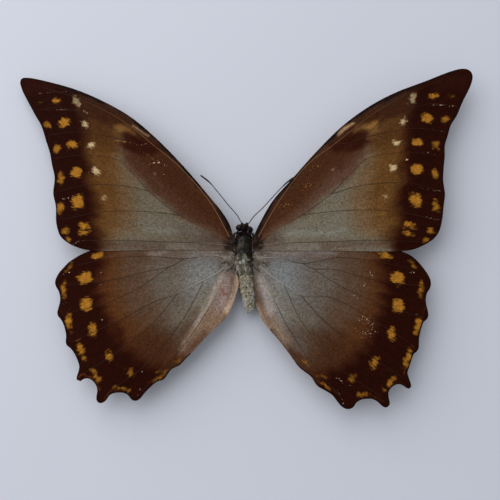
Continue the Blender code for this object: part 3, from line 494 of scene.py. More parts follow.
HINDWING_PATTERN = Pattern(
    ground=GREY_BROWN,
    washes=(
        Wash(HIND_GREY, ((6, -4), (28, -1), (32, -8), (29, -18), (24, -28), (14, -28), (9, -18)),
             0, 9, 1, True),
        Wash(BLUE_GREY, ((5, -4), (17, -1), (19, -7), (18, -14), (15, -21), (12, -22), (8, -12)),
             0, 12, 0.85, True),
        Wash(LAVENDER, ((8, -1), (20, -0.6), (31, -1)), 0.9, 4, 1),
        Wash(GREY_GREEN, ((12, -16), (16, -22), (20, -25)), 2, 7, 0.7),
        Wash(HIND_GREY_LOW, ((16, -28), (26, -26), (33, -31), (22, -38)), 0, 8, 0.8, True),
        Wash(WARM_BROWN, ((44, 4), (41.4, -4), (41, -14), (37.4, -22), (31, -29), (25, -34), (19, -46),
                          (60, -60), (80, -20), (60, 8)), 0, 11, 1, True),
        Wash(HIND_DARK_BROWN, ((24, -29), (34, -30), (37, -38), (28, -43), (19, -38)), 0, 8, 0.9, True),
        Wash(BORDER, ((45.8, 4), (46.6, -4), (47, -14), (45, -22), (42, -30), (36, -37), (28.4, -41),
                      (20, -43.4), (40, -70), (90, -20), (60, 8)), 0, 7, 1, True),
        *one_side(Side.RIGHT,
            (GREY_BROWN, ((20, -27), (24, -33), (22, -37)), 2, 7, 0.5),
            (SILVER, ((9.6, -13), (11.6, -19), (13.6, -24.6)), 1, 6, 0.7),
            (HIND_GREY, ((14.6, -26), (19.4, -34)), 1.2, 6, 0.7),
            (BEIGE, ((7.6, -20), (10.4, -25.4), (14.4, -30.8)), 1, 4, 0.65),
            (ANAL_LAVENDER, ((5.4, -10), (7, -15), (9.2, -20.5)), 1.4, 4, 0.85),
            (BEIGE, ((4.4, -19.5), (6, -23), (8.6, -26.4)), 0.6, 2, 0.8),
            # partly the wing's brown, partly painted shade of the anal fold
            (FOLD_BROWN_AND_SHADE, ((9.4, -28), (12.6, -31.8), (15.6, -36)), 0.3, 1.8, 0.8),
            # pale fold line, partly a painted highlight on the ridge
            (FOLD_PALE_AND_HIGHLIGHT, ((6, -9.5), (8, -13.5), (11, -21), (12.6, -25)), 0.15, 1.4, 0.4),
            (RUFOUS, ((14.6, -35.4), (17.4, -38.6)), 0.2, 1.4, 0.8)),
        Wash(HIND_DARK_BROWN, ((16, -35), (19, -39), (24, -44)), 1.4, 3, 0.7),
        Wash(LUNULE, ((56.6, -34.4), (54.6, -37.4), (53.2, -41.6)), 0.1, 0.8, 0.7),
        Wash(LUNULE, ((52.8, -45), (51, -44.2), (49, -44.6), (47.2, -46), (46.2, -48)),
             0.1, 0.8, 0.8),
        Wash(LUNULE, ((44.6, -50.4), (42.4, -49), (40, -48.8), (38, -49.2), (36.2, -50.2)),
             0, 0.8, 0.7),
        Wash(LUNULE, ((30, -47.8), (27, -45.8), (24.6, -44.6)), 0, 0.8, 0.6),
        Wash(LUNULE, ((60.2, -17), (60.6, -21.4), (59, -24.2)), 0, 0.7, 0.5),
        *one_side(Side.LEFT,
            (WARM_LIGHT, ((-43, 0), (-43.4, -10), (-41.6, -20), (-36, -28)), 1, 7, 0.3),
            # partly the wing's brown, partly painted shade beside the fold
            (FOLD_BROWN_AND_SHADE, ((-16, -20.4), (-19, -26), (-21.6, -31), (-24, -36)), 0.6, 3.4, 0.5),
            (ANAL_BROWN, ((-3, -6.5), (-8, -10), (-10.6, -15), (-12.8, -20.4), (-16.8, -26.6), (-20, -32.4),
             (-21.6, -36), (-18, -37.5), (-10, -28.6), (-4, -21.8), (-1, -14)), 0, 2.4, 0.95, True),
            (ANAL_PINK, ((-3, -7), (-7.6, -10), (-9.6, -14.5), (-10.8, -19.4), (-8.4, -22.6), (-5.6, -19),
             (-3.8, -14.4)), 0, 2.6, 0.9, True),
            (ANAL_LAVENDER, ((-5.2, -10), (-6, -13), (-7.8, -19)), 0.2, 2.6, 0.5),
            # the beige strip with a painted highlight where it faces the light
            (BEIGE_AND_HIGHLIGHT, ((-1.8, -9), (-2.2, -13.6), (-3.8, -18), (-5.4, -20.8)), 1, 2.2, 1),
            # partly the wing's brown, partly painted shade of the anal fold
            (FOLD_BROWN_AND_SHADE, ((-12.6, -29), (-16, -32.4), (-20, -36.6)), 1.3, 4, 0.9),
            (HIND_DARK_BROWN, ((-20.6, -36.6), (-24, -39)), 1, 3, 0.8),
            # pale fold ridge, partly a painted highlight on the ridge
            (RIDGE_PALE_AND_HIGHLIGHT, ((-7, -9), (-9.8, -13.6), (-12, -19.6), (-15.4, -25.6)), 0.5, 2.6, 0.78),
            (FOLD_PALE_AND_HIGHLIGHT, ((-15.6, -26), (-18.4, -31), (-20, -33.6)), 0.2, 2.4, 0.4),
            # painted shadow along the fold ridge's outer side
            (FOLD_BROWN_AND_SHADE, ((-14.2, -20.6), (-17.8, -26.2), (-21, -32)), 0.1, 1.6, 0.4),
            (BORDER, ((-42, -26), (-40, -31), (-44, -36)), 1, 5, 0.7),
            (ANAL_LINE, ((-3, -8), (-4.4, -14.6), (-6, -19), (-8.6, -23)), 0.1, 0.8, 0.5),
            (STAIN, ((-7.4, -14), (-6.4, -15.4), (-5.6, -15.2)), 0.3, 1, 0.8),
            (STAIN, ((-6.4, -13.4), (-6.8, -16)), 0.15, 0.8, 0.7)),
    ),
    orange=(
        Spot((48.2, -1.8), (-49.5, -1.8), 4.2, 2.5, -12),
        Spot((52, -9.8), (-53.4, -9.7), 4.9, 4.7),
        Spot((51.8, -19.3), (-52.6, -18.7), 4.1, 5.1),
        Spot((49.1, -28.6), (-50, -27.5), 2.9, 4.5, -6),
        Spot((43, -38), (-44, -36), 2.5, 3.7, -22),
        Spot((35.5, -43.3), (-36.8, -41.5), 2.4, 3.1, -35, 0.55),
        Spot((57.5, -5.3), (-58.8, -5.9), 1.3, 3.2, 30, 0.6),
        Spot((59.5, -14), (-60.2, -14), 2, 5, -12, 0.9),
        Spot((57.8, -26), (-58, -24.5), 2.1, 5.8, -15),
        Spot((54, -36.5), (-53.5, -34), 2.1, 6.6, -22),
        Spot((48, -44.5), (-48.2, -42.3), 1.7, 5, -38),
        Spot((38.5, -48.5), (-39.5, -46.5), 4, 1.2, 12),
        Spot((27, -45.8), (-28, -43.3), 3.4, 1, -32),
        Spot((25.5, -42.7), (-26, -41), 3.4, 0.9, -8, 0.6),
        Spot((20, -38), (-21.5, -37.5), 2.6, 1.6, -45, 0.5),
    ),
    cream=(),
    wear=(
        *worn(Side.RIGHT, SCRATCH,
            (1.2, 2.6, 0.34, (39, -24), (42, -23.5), (43, -28), (39.5, -29)),
            (0.5, 2, 0.34, (36.5, -27), (38, -28)), (0.3, 0.8, 0.7, (42.8, -8), (43.4, -9.4)),
            (0.2, 0.6, 0.8, (40.4, -12.6), (41, -11.6)), (0.15, 0.6, 0.6, (36, -15), (38.5, -16.6)),
            (0.3, 0.8, 0.6, (30.5, -43), (32.3, -44.6)), (0.2, 0.6, 0.7, (33.6, -45.6), (35, -45.4)),
            (0.2, 0.6, 0.5, (30.6, -47), (32.6, -51.6)), (0.2, 0.6, 0.8, (56.6, -7.8), (58, -7.8)),
            (0.3, 0.8, 0.7, (53.4, 0.2), (54.8, -1))),
        *worn(Side.LEFT, SCRATCH,
            (0.1, 0.5, 0.75, (-62, -9.2), (-60, -8.2), (-58, -7.6)),
            (0.1, 0.6, 0.6, (-48.2, -8), (-46.4, -7)), (0.15, 0.5, 0.75, (-60.4, -18.6), (-58.6, -17.6)),
            (0.15, 0.5, 0.6, (-48.6, -12.3), (-47, -11.6)), (0.2, 0.7, 0.6, (-34.6, -41.8), (-33, -41)),
            (0.15, 0.5, 0.6, (-34.6, -49), (-33.4, -46.6)), (0.2, 0.6, 0.8, (-47.6, -24.2), (-46.8, -23.8)),
            (0.2, 0.6, 0.7, (-28, -11.8), (-27, -12.2))),
    ),
    anchors=(((3.6, -3), (-3.6, -3)), ((3.6, -7), (-3.2, -6.6)), ((4.1, -14), (-1.9, -13.5)),
             ((4.9, -20.8), (-4.3, -20.5)), ((11.2, -30.2), (-12, -29.3)), ((20, -4.7), (-20, -3)),
             ((19, -15.5), (-22, -15)), ((13.5, -11.8), (-13.5, -11)), ((30, 0), (-30, 0)),
             ((63.1, -11.6), (-63.4, -11.4)), ((34, -53), (-35, -50.5)), ((46, -52.6), (-46, -51.2))),
    outer_from=17,
    under_ground=UNDER_BROWN,
    under_washes=(
        Wash(UNDER_PALE, ((6, -6), (20, -14), (26, -26)), 6, 10, 0.6),
        Wash(UNDER_DARK, ((24, 2), (26, -16), (14, -30)), 0.5, 1.2, 0.8),
        Wash(UNDER_DARK, ((40, 2), (42, -18), (26, -36)), 0.8, 1.8, 0.8),
        Wash(UNDER_PALE, ((46, 1), (48, -20), (32, -42)), 1.5, 3, 0.8),
        Wash(UNDER_DARK, ((58, -6), (57, -24), (50, -40), (34, -49)), 1.2, 2.6, 0.9),
    ),
)


def smooth_step(low: float, high: float, values: Array) -> Array:
    """0 below low, 1 above high and a smooth rise between them."""
    share = np.clip((values - low) / max(high - low, 1e-9), 0.0, 1.0)
    return share * share * (3.0 - 2.0 * share)


def spline(points: Sequence[Sequence[float]], step: float, closed: bool = False) -> Array:
    """Points about a step apart on a smooth curve through the given ones, in any dimension.

    Args:
        points: the points that the curve passes through.
        step: the wanted distance between the result's points.
        closed: whether the last given point is joined to the first by a straight line.

    Returns:
        The curve's points, one a row.
    """
    given = np.array(points, float)
    ends = np.vstack([2 * given[0] - given[1], given, 2 * given[-1] - given[-2]])
    run = []
    for four in zip(ends, ends[1:], ends[2:], ends[3:]):
        pieces = max(1, round(float(np.linalg.norm(four[2] - four[1])) / step))
        run += [spline_point(four, i / pieces) for i in range(pieces)]
    run.append(given[-1])
    if closed:
        pieces = max(1, round(float(np.linalg.norm(given[0] - given[-1])) / step))
        run += [given[-1] + (given[0] - given[-1]) * i / pieces for i in range(1, pieces)]
    return np.array(run)


def spline_point(four: Sequence[Array], share: float) -> Array:
    """A point of the centripetal spline between the second and the third of four points."""
    knots = [0.0]
    for a, b in zip(four, four[1:]):
        knots.append(knots[-1] + max(float(np.linalg.norm(b - a)), 1e-6) ** 0.5)
    t = knots[1] + share * (knots[2] - knots[1])

    def between(p: Array, q: Array, i: int, j: int) -> Array:
        """The blend of two points at t, between the knots i and j."""
        return (p * (knots[j] - t) + q * (t - knots[i])) / (knots[j] - knots[i])

    first, middle, last = (between(four[i], four[i + 1], i, i + 1) for i in range(3))
    return between(between(first, middle, 0, 2), between(middle, last, 1, 3), 1, 2)


def nearest_on_run(points: Array, run: Array) -> Array:
    """The place on a line of corners that is nearest to each point.

    Args:
        points: the points, one a row.
        run: the line's corners, one a row.

    Returns:
        One place for each point.
    """
    best = np.full(len(points), np.inf)
    found = np.zeros_like(points)
    for start, end in zip(run, run[1:]):
        leg = end - start
        share = np.clip((points - start) @ leg / max(float(leg @ leg), 1e-12), 0.0, 1.0)
        place = start + share[:, None] * leg
        away = ((points - place) ** 2).sum(1)
        closer = away < best
        best[closer] = away[closer]
        found[closer] = place[closer]
    return found


def distance_to_run(points: Array, run: Array) -> Array:
    """The distance from each point to a line of corners."""
    return np.linalg.norm(points - nearest_on_run(points, run), axis=1)


def inside(points: Array, outline: Array) -> Array:
    """Whether each plan point lies within a closed outline.

    Args:
        points: the plan points, one a row.
        outline: the outline's corners, one a row.

    Returns:
        True or False for each point.
    """
    x, y = points.T
    crossings = np.zeros(len(points), int)
    for start, end in zip(outline, np.roll(outline, -1, axis=0)):
        if start[1] == end[1]:
            continue
        spans = (start[1] > y) != (end[1] > y)
        cut = start[0] + (y - start[1]) * (end[0] - start[0]) / (end[1] - start[1])
        crossings += spans & (x < cut)
    return crossings % 2 == 1


def clouds(points: Array, pitch: float, seed: int) -> Array:
    """Smooth random values from -1 to 1 over plan points.

    Args:
        points: the plan points, one a row.
        pitch: how far apart the lumps are.
        seed: the seed for the values.

    Returns:
        One value for each point.
    """
    grid = np.random.default_rng(seed).uniform(-1.0, 1.0, (64, 64))
    cells = points / pitch + 1000.0
    low = np.floor(cells).astype(int)
    share = smooth_step(0.0, 1.0, cells - low)
    corners = [grid[(low[:, 0] + i) % 64, (low[:, 1] + j) % 64] for i in (0, 1) for j in (0, 1)]
    near = corners[0] + (corners[1] - corners[0]) * share[:, 1]
    far = corners[2] + (corners[3] - corners[2]) * share[:, 1]
    return near + (far - near) * share[:, 0]


def sighted(readings: Array, heights: Array) -> Array:
    """The places of plan readings once they lie at their heights, each on its line of sight."""
    share = (EYE[2] - heights) / (EYE[2] - READING_HEIGHT)
    x = EYE[0] + (readings[:, 0] - EYE[0]) * share
    y = EYE[1] + (readings[:, 1] - EYE[1]) * share
    return np.stack([x, y, heights], axis=1)


def unit(vectors: Array) -> Array:
    """The vectors, each with a length of 1."""
    return vectors / np.maximum(np.linalg.norm(vectors, axis=-1, keepdims=True), 1e-9)


def pick(*objects: bpy.types.Object) -> None:
    """Select these objects alone and make the first one active."""
    for item in list(bpy.context.selected_objects):
        item.select_set(False)
    for item in objects:
        item.select_set(True)
    bpy.context.view_layer.objects.active = objects[0]


@contextmanager
def editing(obj: bpy.types.Object, mode: str = "VERT") -> Iterator[None]:
    """Edit mode on one object, with the selection mode given."""
    pick(obj)
    bpy.ops.object.mode_set(mode="EDIT")
    bpy.ops.mesh.select_mode(type=mode)
    yield
    bpy.ops.object.mode_set(mode="OBJECT")


def corners_of(obj: bpy.types.Object) -> Array:
    """The places of an object's corners, one a row."""
    places = np.empty(len(obj.data.vertices) * 3)
    obj.data.vertices.foreach_get("co", places)
    return places.reshape(-1, 3)


def place_corners(obj: bpy.types.Object, places: Array) -> None:
    """Move an object's corners to new places."""
    obj.data.vertices.foreach_set("co", np.ascontiguousarray(places, np.float32).ravel())
    obj.data.update()


def give_colour(obj: bpy.types.Object, name: str, colours: Array | Colour) -> None:
    """Store a colour for each corner, or one colour for all of them, under a name."""
    full = np.ones((len(obj.data.vertices), 4), np.float32)
    full[:, :3] = colours
    layer = obj.data.attributes.new(name, "FLOAT_COLOR", "POINT")
    layer.data.foreach_set("color", full.ravel())


def give_value(obj: bpy.types.Object, name: str, values: Array) -> None:
    """Store a number for each corner under a name."""
    layer = obj.data.attributes.new(name, "FLOAT", "POINT")
    layer.data.foreach_set("value", values.astype(np.float32))


def grid(name: str, columns: int, rows: int) -> bpy.types.Object:
    """A flat grid of so many columns and rows of faces, to be laid over a shape."""
    if bpy.context.selected_objects:
        bpy.ops.object.select_all(action="DESELECT")
    bpy.ops.mesh.primitive_grid_add(x_subdivisions=columns, y_subdivisions=rows, size=1.0,
                                    location=(0.0, 0.0, 0.0))
    made = bpy.context.object
    made.name = made.data.name = name
    return made


def rolled(name: str, rings: Array) -> bpy.types.Object:
    """A closed tube: a grid laid over rings of points, its seam merged and its ends filled.

    Args:
        name: the object's name.
        rings: places of shape (rings, points in a ring, 3).

    Returns:
        The tube, with its faces outwards.
    """
    made = grid(name, rings.shape[1], rings.shape[0] - 1)
    place_corners(made, np.concatenate([rings, rings[:, :1]], axis=1).reshape(-1, 3))
    with editing(made):
        bpy.ops.mesh.select_all(action="SELECT")
        bpy.ops.mesh.remove_doubles(threshold=1e-4)
        bpy.ops.mesh.fill_holes(sides=0)
        bpy.ops.mesh.select_all(action="SELECT")
        bpy.ops.mesh.normals_make_consistent(inside=False)
    return made


def smooth(obj: bpy.types.Object, angle: float = 50.0) -> None:
    """Shade an object smooth, apart from edges that turn more than an angle in degrees."""
    pick(obj)
    bpy.ops.object.shade_smooth_by_angle(angle=math.radians(angle))


def dress(obj: bpy.types.Object, colours: Array | Colour, material: bpy.types.Material,
          angle: float = 50.0) -> None:
    """Colour a mesh, give it a material and shade it smooth up to an angle in degrees."""
    give_colour(obj, "ground", colours)
    obj.data.materials.append(material)
    smooth(obj, angle)


def join(name: str, *objects: bpy.types.Object) -> bpy.types.Object:
    """One object of several, under a name."""
    pick(*objects)
    if len(objects) > 1:
        bpy.ops.object.join()
    made = objects[0]
    made.name = made.data.name = name
    return made


def tube_rings(line: Array, radii: Array, sides: int, across: Place = (0.0, 0.0, 1.0)) -> Array:
    """Rings round a line of points, square to it and without a twist.

    Args:
        line: the line's points, one a row.
        radii: one radius for each point.
        sides: how many points a ring has.
        across: the direction that each ring starts from.

    Returns:
        Places of shape (points of the line, sides, 3).
    """
    start = np.array(across, float)
    turns = 2 * np.pi * np.arange(sides)[:, None] / sides
    rings = []
    for i, (point, radius) in enumerate(zip(line, radii)):
        along = unit(line[min(i + 1, len(line) - 1)] - line[max(i - 1, 0)])
        start = unit(start - along * (along @ start))
        third = np.cross(along, start)
        rings.append(point + (start * np.cos(turns) + third * np.sin(turns)) * radius)
    return np.array(rings)


def ellipsoid_rings(centre: Place, semi_axes: Place, rings: int, sides: int, pole: int = 1) -> Array:
    """Rings of an ellipsoid from pole to pole along one of its axes."""
    tilt = np.linspace(-0.999, 0.999, rings) * np.pi / 2
    turn = 2 * np.pi * np.arange(sides) / sides
    around = [i for i in range(3) if i != pole]
    shape = np.zeros((rings, sides, 3))
    shape[..., pole] = np.sin(tilt)[:, None]
    shape[..., around[0]] = np.cos(tilt)[:, None] * np.cos(turn)
    shape[..., around[1]] = np.cos(tilt)[:, None] * np.sin(turn)
    return shape * semi_axes + centre


@dataclass(frozen=True)
class Coat:
    """A coat of hairs or scales: how many, how long and thick, and how they lie.

    A lie of 0 stands up from the skin and 1 lies along it. A bend of 1 lets the tips follow the
    lie fully. Flatness makes a hair a flat scale, wider across than it is thick. The hairs gather
    at their tips into so many clumps, which differ in brightness by the contrast.
    """

    count: int
    shortest: float
    longest: float
    girth: float
    lie: float
    bend: float = 0.5
    scatter: float = 0.35
    flatness: float = 1.0
    clumps: int = 0
    gather: float = 0.0
    contrast: float = 0.0


@dataclass(frozen=True)
class Skin:
    """A skin of rings that hairs grow from: places of shape (rings, points in a ring, 3)."""

    rings: Array

    def sample(self, rows: Array, turns: Array) -> tuple[Array, Array, Array]:
        """Places on the skin with their outward normals and the direction along the body.

        Args:
            rows: shares of the way from the first ring to the last.
            turns: shares of the way round.

        Returns:
            The places, the normals and the directions, one a row each.
        """
        count, sides = self.rings.shape[:2]
        row = np.clip(rows, 0.0, 1.0) * (count - 1.001)
        turn = (turns % 1.0) * sides
        i, j = row.astype(int), turn.astype(int) % sides
        s, t = (row - i)[:, None], (turn - turn.astype(int))[:, None]
        a, b = self.rings[i, j], self.rings[i + 1, j]
        c, d = self.rings[i, (j + 1) % sides], self.rings[i + 1, (j + 1) % sides]
        place = a * (1 - s) * (1 - t) + b * s * (1 - t) + c * (1 - s) * t + d * s * t
        along = (b - a) * (1 - t) + (d - c) * t
        across = (c - a) * (1 - s) + (d - b) * s
        normal = unit(np.cross(along, across))
        middle = self.rings[i].mean(axis=1)
        normal *= np.sign((normal * (place - middle)).sum(1))[:, None]
        return place, normal, unit(along)


ROOT_DEPTH = 0.08               # how far a hair's root lies under the skin
LEAN_SPREAD = (0.5, 0.6)        # how much of the scatter the lower and the upper half of a hair take
GIRTH_SPREAD = (0.7, 1.3)
SHADE_SPREAD = (0.75, 1.25)
KNEE_GIRTH = 0.75
BRIGHTEST_HAIR = 0.5


def grow(name: str, coat: Coat, places: Array, normals: Array, lay: Array,
         colours: Array | Colour, seed: int) -> bpy.types.Object:
    """A mesh of hairs, each a bent three-sided blade with a closed root and a point.

    Args:
        name: the object's name.
        coat: the hairs' number, sizes and lie.
        places: the roots.
        normals: the skin's normals there.
        lay: the direction in which each hair lies.
        colours: each hair's colour, or one for all.
        seed: the seed for the hairs' variation.

    Returns:
        The hairs as one object with their colours.
    """
    rng = np.random.default_rng(seed)
    count = len(places)
    length = rng.uniform(coat.shortest, coat.longest, (count, 1))
    jitter = rng.normal(0.0, coat.scatter, (count, 3))
    first = unit(normals * (1.0 - coat.lie) + lay * coat.lie + jitter * LEAN_SPREAD[0])
    second = unit(first * (1.0 - coat.bend) + lay * coat.bend + jitter * LEAN_SPREAD[1])
    side = unit(np.cross(first, normals + 0.01))
    up = np.cross(side, first)
    girth = coat.girth * rng.uniform(*GIRTH_SPREAD, (count, 1))
    root, knee = places - first * ROOT_DEPTH, places + first * length * 0.5
    tip = knee + second * length * 0.5
    shade = colours * rng.uniform(*SHADE_SPREAD, (count, 1))
    if coat.clumps:
        heads = rng.choice(count, coat.clumps, replace=False)
        nearest = np.linalg.norm(places[:, None] - places[None, heads], axis=2).argmin(axis=1)
        own = heads[nearest]
        knee = knee + (knee[own] - knee) * coat.gather * 0.5
        tip = tip + (tip[own] - tip) * coat.gather
        shade = shade * np.exp(coat.contrast * rng.normal(0.0, 1.0, coat.clumps))[nearest][:, None]
    corners = []
    for centre, radius in ((root, girth), (knee, girth * KNEE_GIRTH)):
        for k in range(3):
            turn = 2 * math.pi * k / 3 + math.pi / 2
            corners.append(centre + radius * (side * math.cos(turn) * coat.flatness + up * math.sin(turn)))
    corners.append(tip)
    places_all = np.stack(corners, axis=1).reshape(-1, 3)
    faces = np.array([(0, 1, 4), (0, 4, 3), (1, 2, 5), (1, 5, 4), (2, 0, 3), (2, 3, 5),
                      (3, 4, 6), (4, 5, 6), (5, 3, 6), (2, 1, 0)])
    all_faces = (faces[None] + 7 * np.arange(count)[:, None, None]).reshape(-1, 3)
    mesh = bpy.data.meshes.new(name)
    mesh.from_pydata(places_all.tolist(), [], all_faces.tolist())
    made = bpy.data.objects.new(name, mesh)
    bpy.context.scene.collection.objects.link(made)
    give_colour(made, "ground", np.repeat(np.minimum(shade, BRIGHTEST_HAIR), 7, axis=0))
    with editing(made):
        bpy.ops.mesh.select_all(action="SELECT")
        bpy.ops.mesh.normals_make_consistent(inside=False)
    smooth(made, 80.0)
    return made


def grown(name: str, rings: Array, coat: Coat, rng: np.random.Generator, seed: int, painter: Painter,
          material: bpy.types.Material, rows: Point = (0.0, 1.0), turns: Point = (0.0, 1.0)
          ) -> bpy.types.Object:
    """A coat of hairs that grows at random places on a skin.

    Args:
        name: the coat's name.
        rings: the skin's rings.
        coat: the hairs' number, sizes and lie.
        rng: draws the places.
        seed: the seed for the hairs' variation.
        painter: gives each place its colour.
        material: the hairs' material.
        rows: the part of the skin's length that the coat covers.
        turns: the part of the way round that it covers.

    Returns:
        The coat.
    """
    places, normals, along = Skin(rings).sample(rng.uniform(*rows, coat.count),
                                                rng.uniform(*turns, coat.count))
    made = grow(name, coat, places, normals, along, painter(places), seed)
    made.data.materials.append(material)
    return made


def finish_piece(obj: bpy.types.Object, node: str) -> None:
    """Turn a finished mesh into metres, and let it stand for its solid on the specimen's body."""
    obj.data.transform(Matrix.Scale(MM, 4))
    obj.data.update()
    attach(obj, "root")
    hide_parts(node)
    faces = sum(len(face.vertices) - 2 for face in obj.data.polygons)
    LOG.info("%s: %d triangles, in place of %s", obj.name, faces, node)


class Shader:
    """A material's or a group's node tree, with short calls that add nodes and link them."""

    def __init__(self, tree: bpy.types.NodeTree) -> None:
        """Work on one node tree."""
        self.tree = tree

    def feed(self, socket: Socket, value: object) -> None:
        """Link a socket to another one, or set its own value."""
        if isinstance(value, bpy.types.NodeSocket):
            self.tree.links.new(value, socket)
        elif isinstance(value, tuple) and len(value) == 3 and socket.type == "RGBA":
            socket.default_value = (*value, 1.0)
        else:
            socket.default_value = value

    def add(self, kind: str, inputs: dict[str | int, object] | None = None,
            **settings: object) -> bpy.types.Node:
        """Add a node, set its properties and feed its inputs.

        Args:
            kind: the node's type.
            inputs: socket names or numbers with a value or a socket for each.
            **settings: the node's own properties.

        Returns:
            The node.
        """
        made = self.tree.nodes.new(kind)
        for key, value in settings.items():
            setattr(made, key, value)
        for key, value in (inputs or {}).items():
            self.feed(made.inputs[key], value)
        return made

    def attribute(self, name: str, output: str) -> Socket:
        """The output of a named attribute of the mesh."""
        return self.add("ShaderNodeAttribute", attribute_name=name).outputs[output]

    def mix(self, factor: object, first: object, second: object, blend: str = "MIX") -> Socket:
        """A mix of two colours."""
        made = self.add("ShaderNodeMix", data_type="RGBA", blend_type=blend)
        for socket, value in ((made.inputs[0], factor), (made.inputs[6], first), (made.inputs[7], second)):
            self.feed(socket, value)
        return made.outputs[2]

    def maths(self, operation: str, first: object, second: object = 0.0, clamp: bool = False) -> Socket:
        """The result of one sum on one or two values."""
        made = self.add("ShaderNodeMath", {0: first, 1: second}, operation=operation, use_clamp=clamp)
        return made.outputs[0]

    def ramp(self, value: object, low: float, high: float, start: float = 0.0, end: float = 1.0) -> Socket:
        """A value mapped smoothly from low and high to start and end."""
        made = self.add("ShaderNodeMapRange", {0: value, 1: low, 2: high, 3: start, 4: end},
                        interpolation_type="SMOOTHSTEP")
        return made.outputs[0]

    def noise(self, vector: Socket, per_metre: float, detail: float = 2.0) -> Socket:
        """Noise with so many lumps to each unit of the vector."""
        made = self.add("ShaderNodeTexNoise", {"Vector": vector, "Scale": per_metre, "Detail": detail})
        return made.outputs["Fac"]

    def stretched(self, vector: Socket, scale: Place) -> Socket:
        """A vector with each of its parts scaled."""
        return self.add("ShaderNodeMapping", {"Vector": vector, "Scale": scale}).outputs[0]


def new_group(name: str, inputs: dict[str, str], outputs: dict[str, str]) -> tuple[
        bpy.types.NodeTree, Shader, bpy.types.Node, bpy.types.Node]:
    """An empty shader group with named sockets.

    Args:
        name: the group's name.
        inputs: each input's name with its socket type.
        outputs: each output's name with its socket type.

    Returns:
        The group, a Shader on it, its input node and its output node.
    """
    group = bpy.data.node_groups.new(name, "ShaderNodeTree")
    for key, kind in inputs.items():
        group.interface.new_socket(name=key, in_out="INPUT", socket_type=kind)
    for key, kind in outputs.items():
        group.interface.new_socket(name=key, in_out="OUTPUT", socket_type=kind)
    shader = Shader(group)
    return group, shader, shader.add("NodeGroupInput"), shader.add("NodeGroupOutput")


def mottle_group() -> bpy.types.NodeTree:
    """A group that varies a colour's brightness in two sizes of speckle.

    Returns:
        The group: Colour, Vector, Coarse and Fine (lumps a metre), and Amount in; Colour and
        Height out.
    """
    group, shader, start, end = new_group(
        "mottle", {"Colour": "NodeSocketColor", "Vector": "NodeSocketVector", "Coarse": "NodeSocketFloat",
                   "Fine": "NodeSocketFloat", "Amount": "NodeSocketFloat"},
        {"Colour": "NodeSocketColor", "Height": "NodeSocketFloat"})
    coarse = shader.noise(start.outputs["Vector"], start.outputs["Coarse"], 3.0)
    fine = shader.noise(start.outputs["Vector"], start.outputs["Fine"], 1.0)
    both = shader.maths("ADD", shader.ramp(coarse, 0.3, 0.7, -0.6, 0.6), shader.ramp(fine, 0.25, 0.75, -1, 1))
    factor = shader.maths("ADD", shader.maths("MULTIPLY", both, start.outputs["Amount"]), 1.0)
    scaled = shader.add("ShaderNodeVectorMath", {0: start.outputs["Colour"]}, operation="SCALE")
    shader.feed(scaled.inputs["Scale"], factor)
    shader.feed(end.inputs["Colour"], scaled.outputs[0])
    shader.feed(end.inputs["Height"], fine)
    return group


MOTTLE = mottle_group()


@dataclass(frozen=True)
class Finish:
    """A finish that reads its ground colour from a layer of the mesh and speckles it."""

    name: str
    roughness: float
    coarse: float = 900.0
    fine: float = 5200.0
    amount: float = 0.18
    bump: float = 0.25
    bump_height: float = 0.00002
    coat: float = 0.0
    specular: float = 0.3
    colour_layer: str = "ground"

    def start(self) -> tuple[bpy.types.Material, Shader, bpy.types.Node]:
        """A new material with its shader's constant values set."""
        material = bpy.data.materials.new(self.name)
        material.use_nodes = True
        shader = Shader(material.node_tree)
        surface = material.node_tree.nodes["Principled BSDF"]
        surface.inputs["Roughness"].default_value = self.roughness
        surface.inputs["Specular IOR Level"].default_value = self.specular
        surface.inputs["Coat Weight"].default_value = self.coat
        surface.inputs["Coat Roughness"].default_value = 0.15
        return material, shader, surface

    def mottled(self, shader: Shader, colour: object, vector: Socket) -> bpy.types.Node:
        """The speckle group with this finish's values."""
        return shader.add("ShaderNodeGroup", {"Colour": colour, "Vector": vector, "Coarse": self.coarse,
                                              "Fine": self.fine, "Amount": self.amount}, node_tree=MOTTLE)

    def relief(self, shader: Shader, surface: bpy.types.Node, height: Socket) -> None:
        """Let a height bump the surface."""
        bump = shader.add("ShaderNodeBump", {"Height": height, "Strength": self.bump,
                                             "Distance": self.bump_height})
        shader.feed(surface.inputs["Normal"], bump.outputs[0])

    def material(self) -> bpy.types.Material:
        """The finish as a material."""
        material, shader, surface = self.start()
        place = shader.add("ShaderNodeTexCoord").outputs["Object"]
        speckle = self.mottled(shader, shader.attribute(self.colour_layer, "Color"), place)
        shader.feed(surface.inputs["Base Color"], speckle.outputs["Colour"])
        self.relief(shader, surface, speckle.outputs["Height"])
        return material


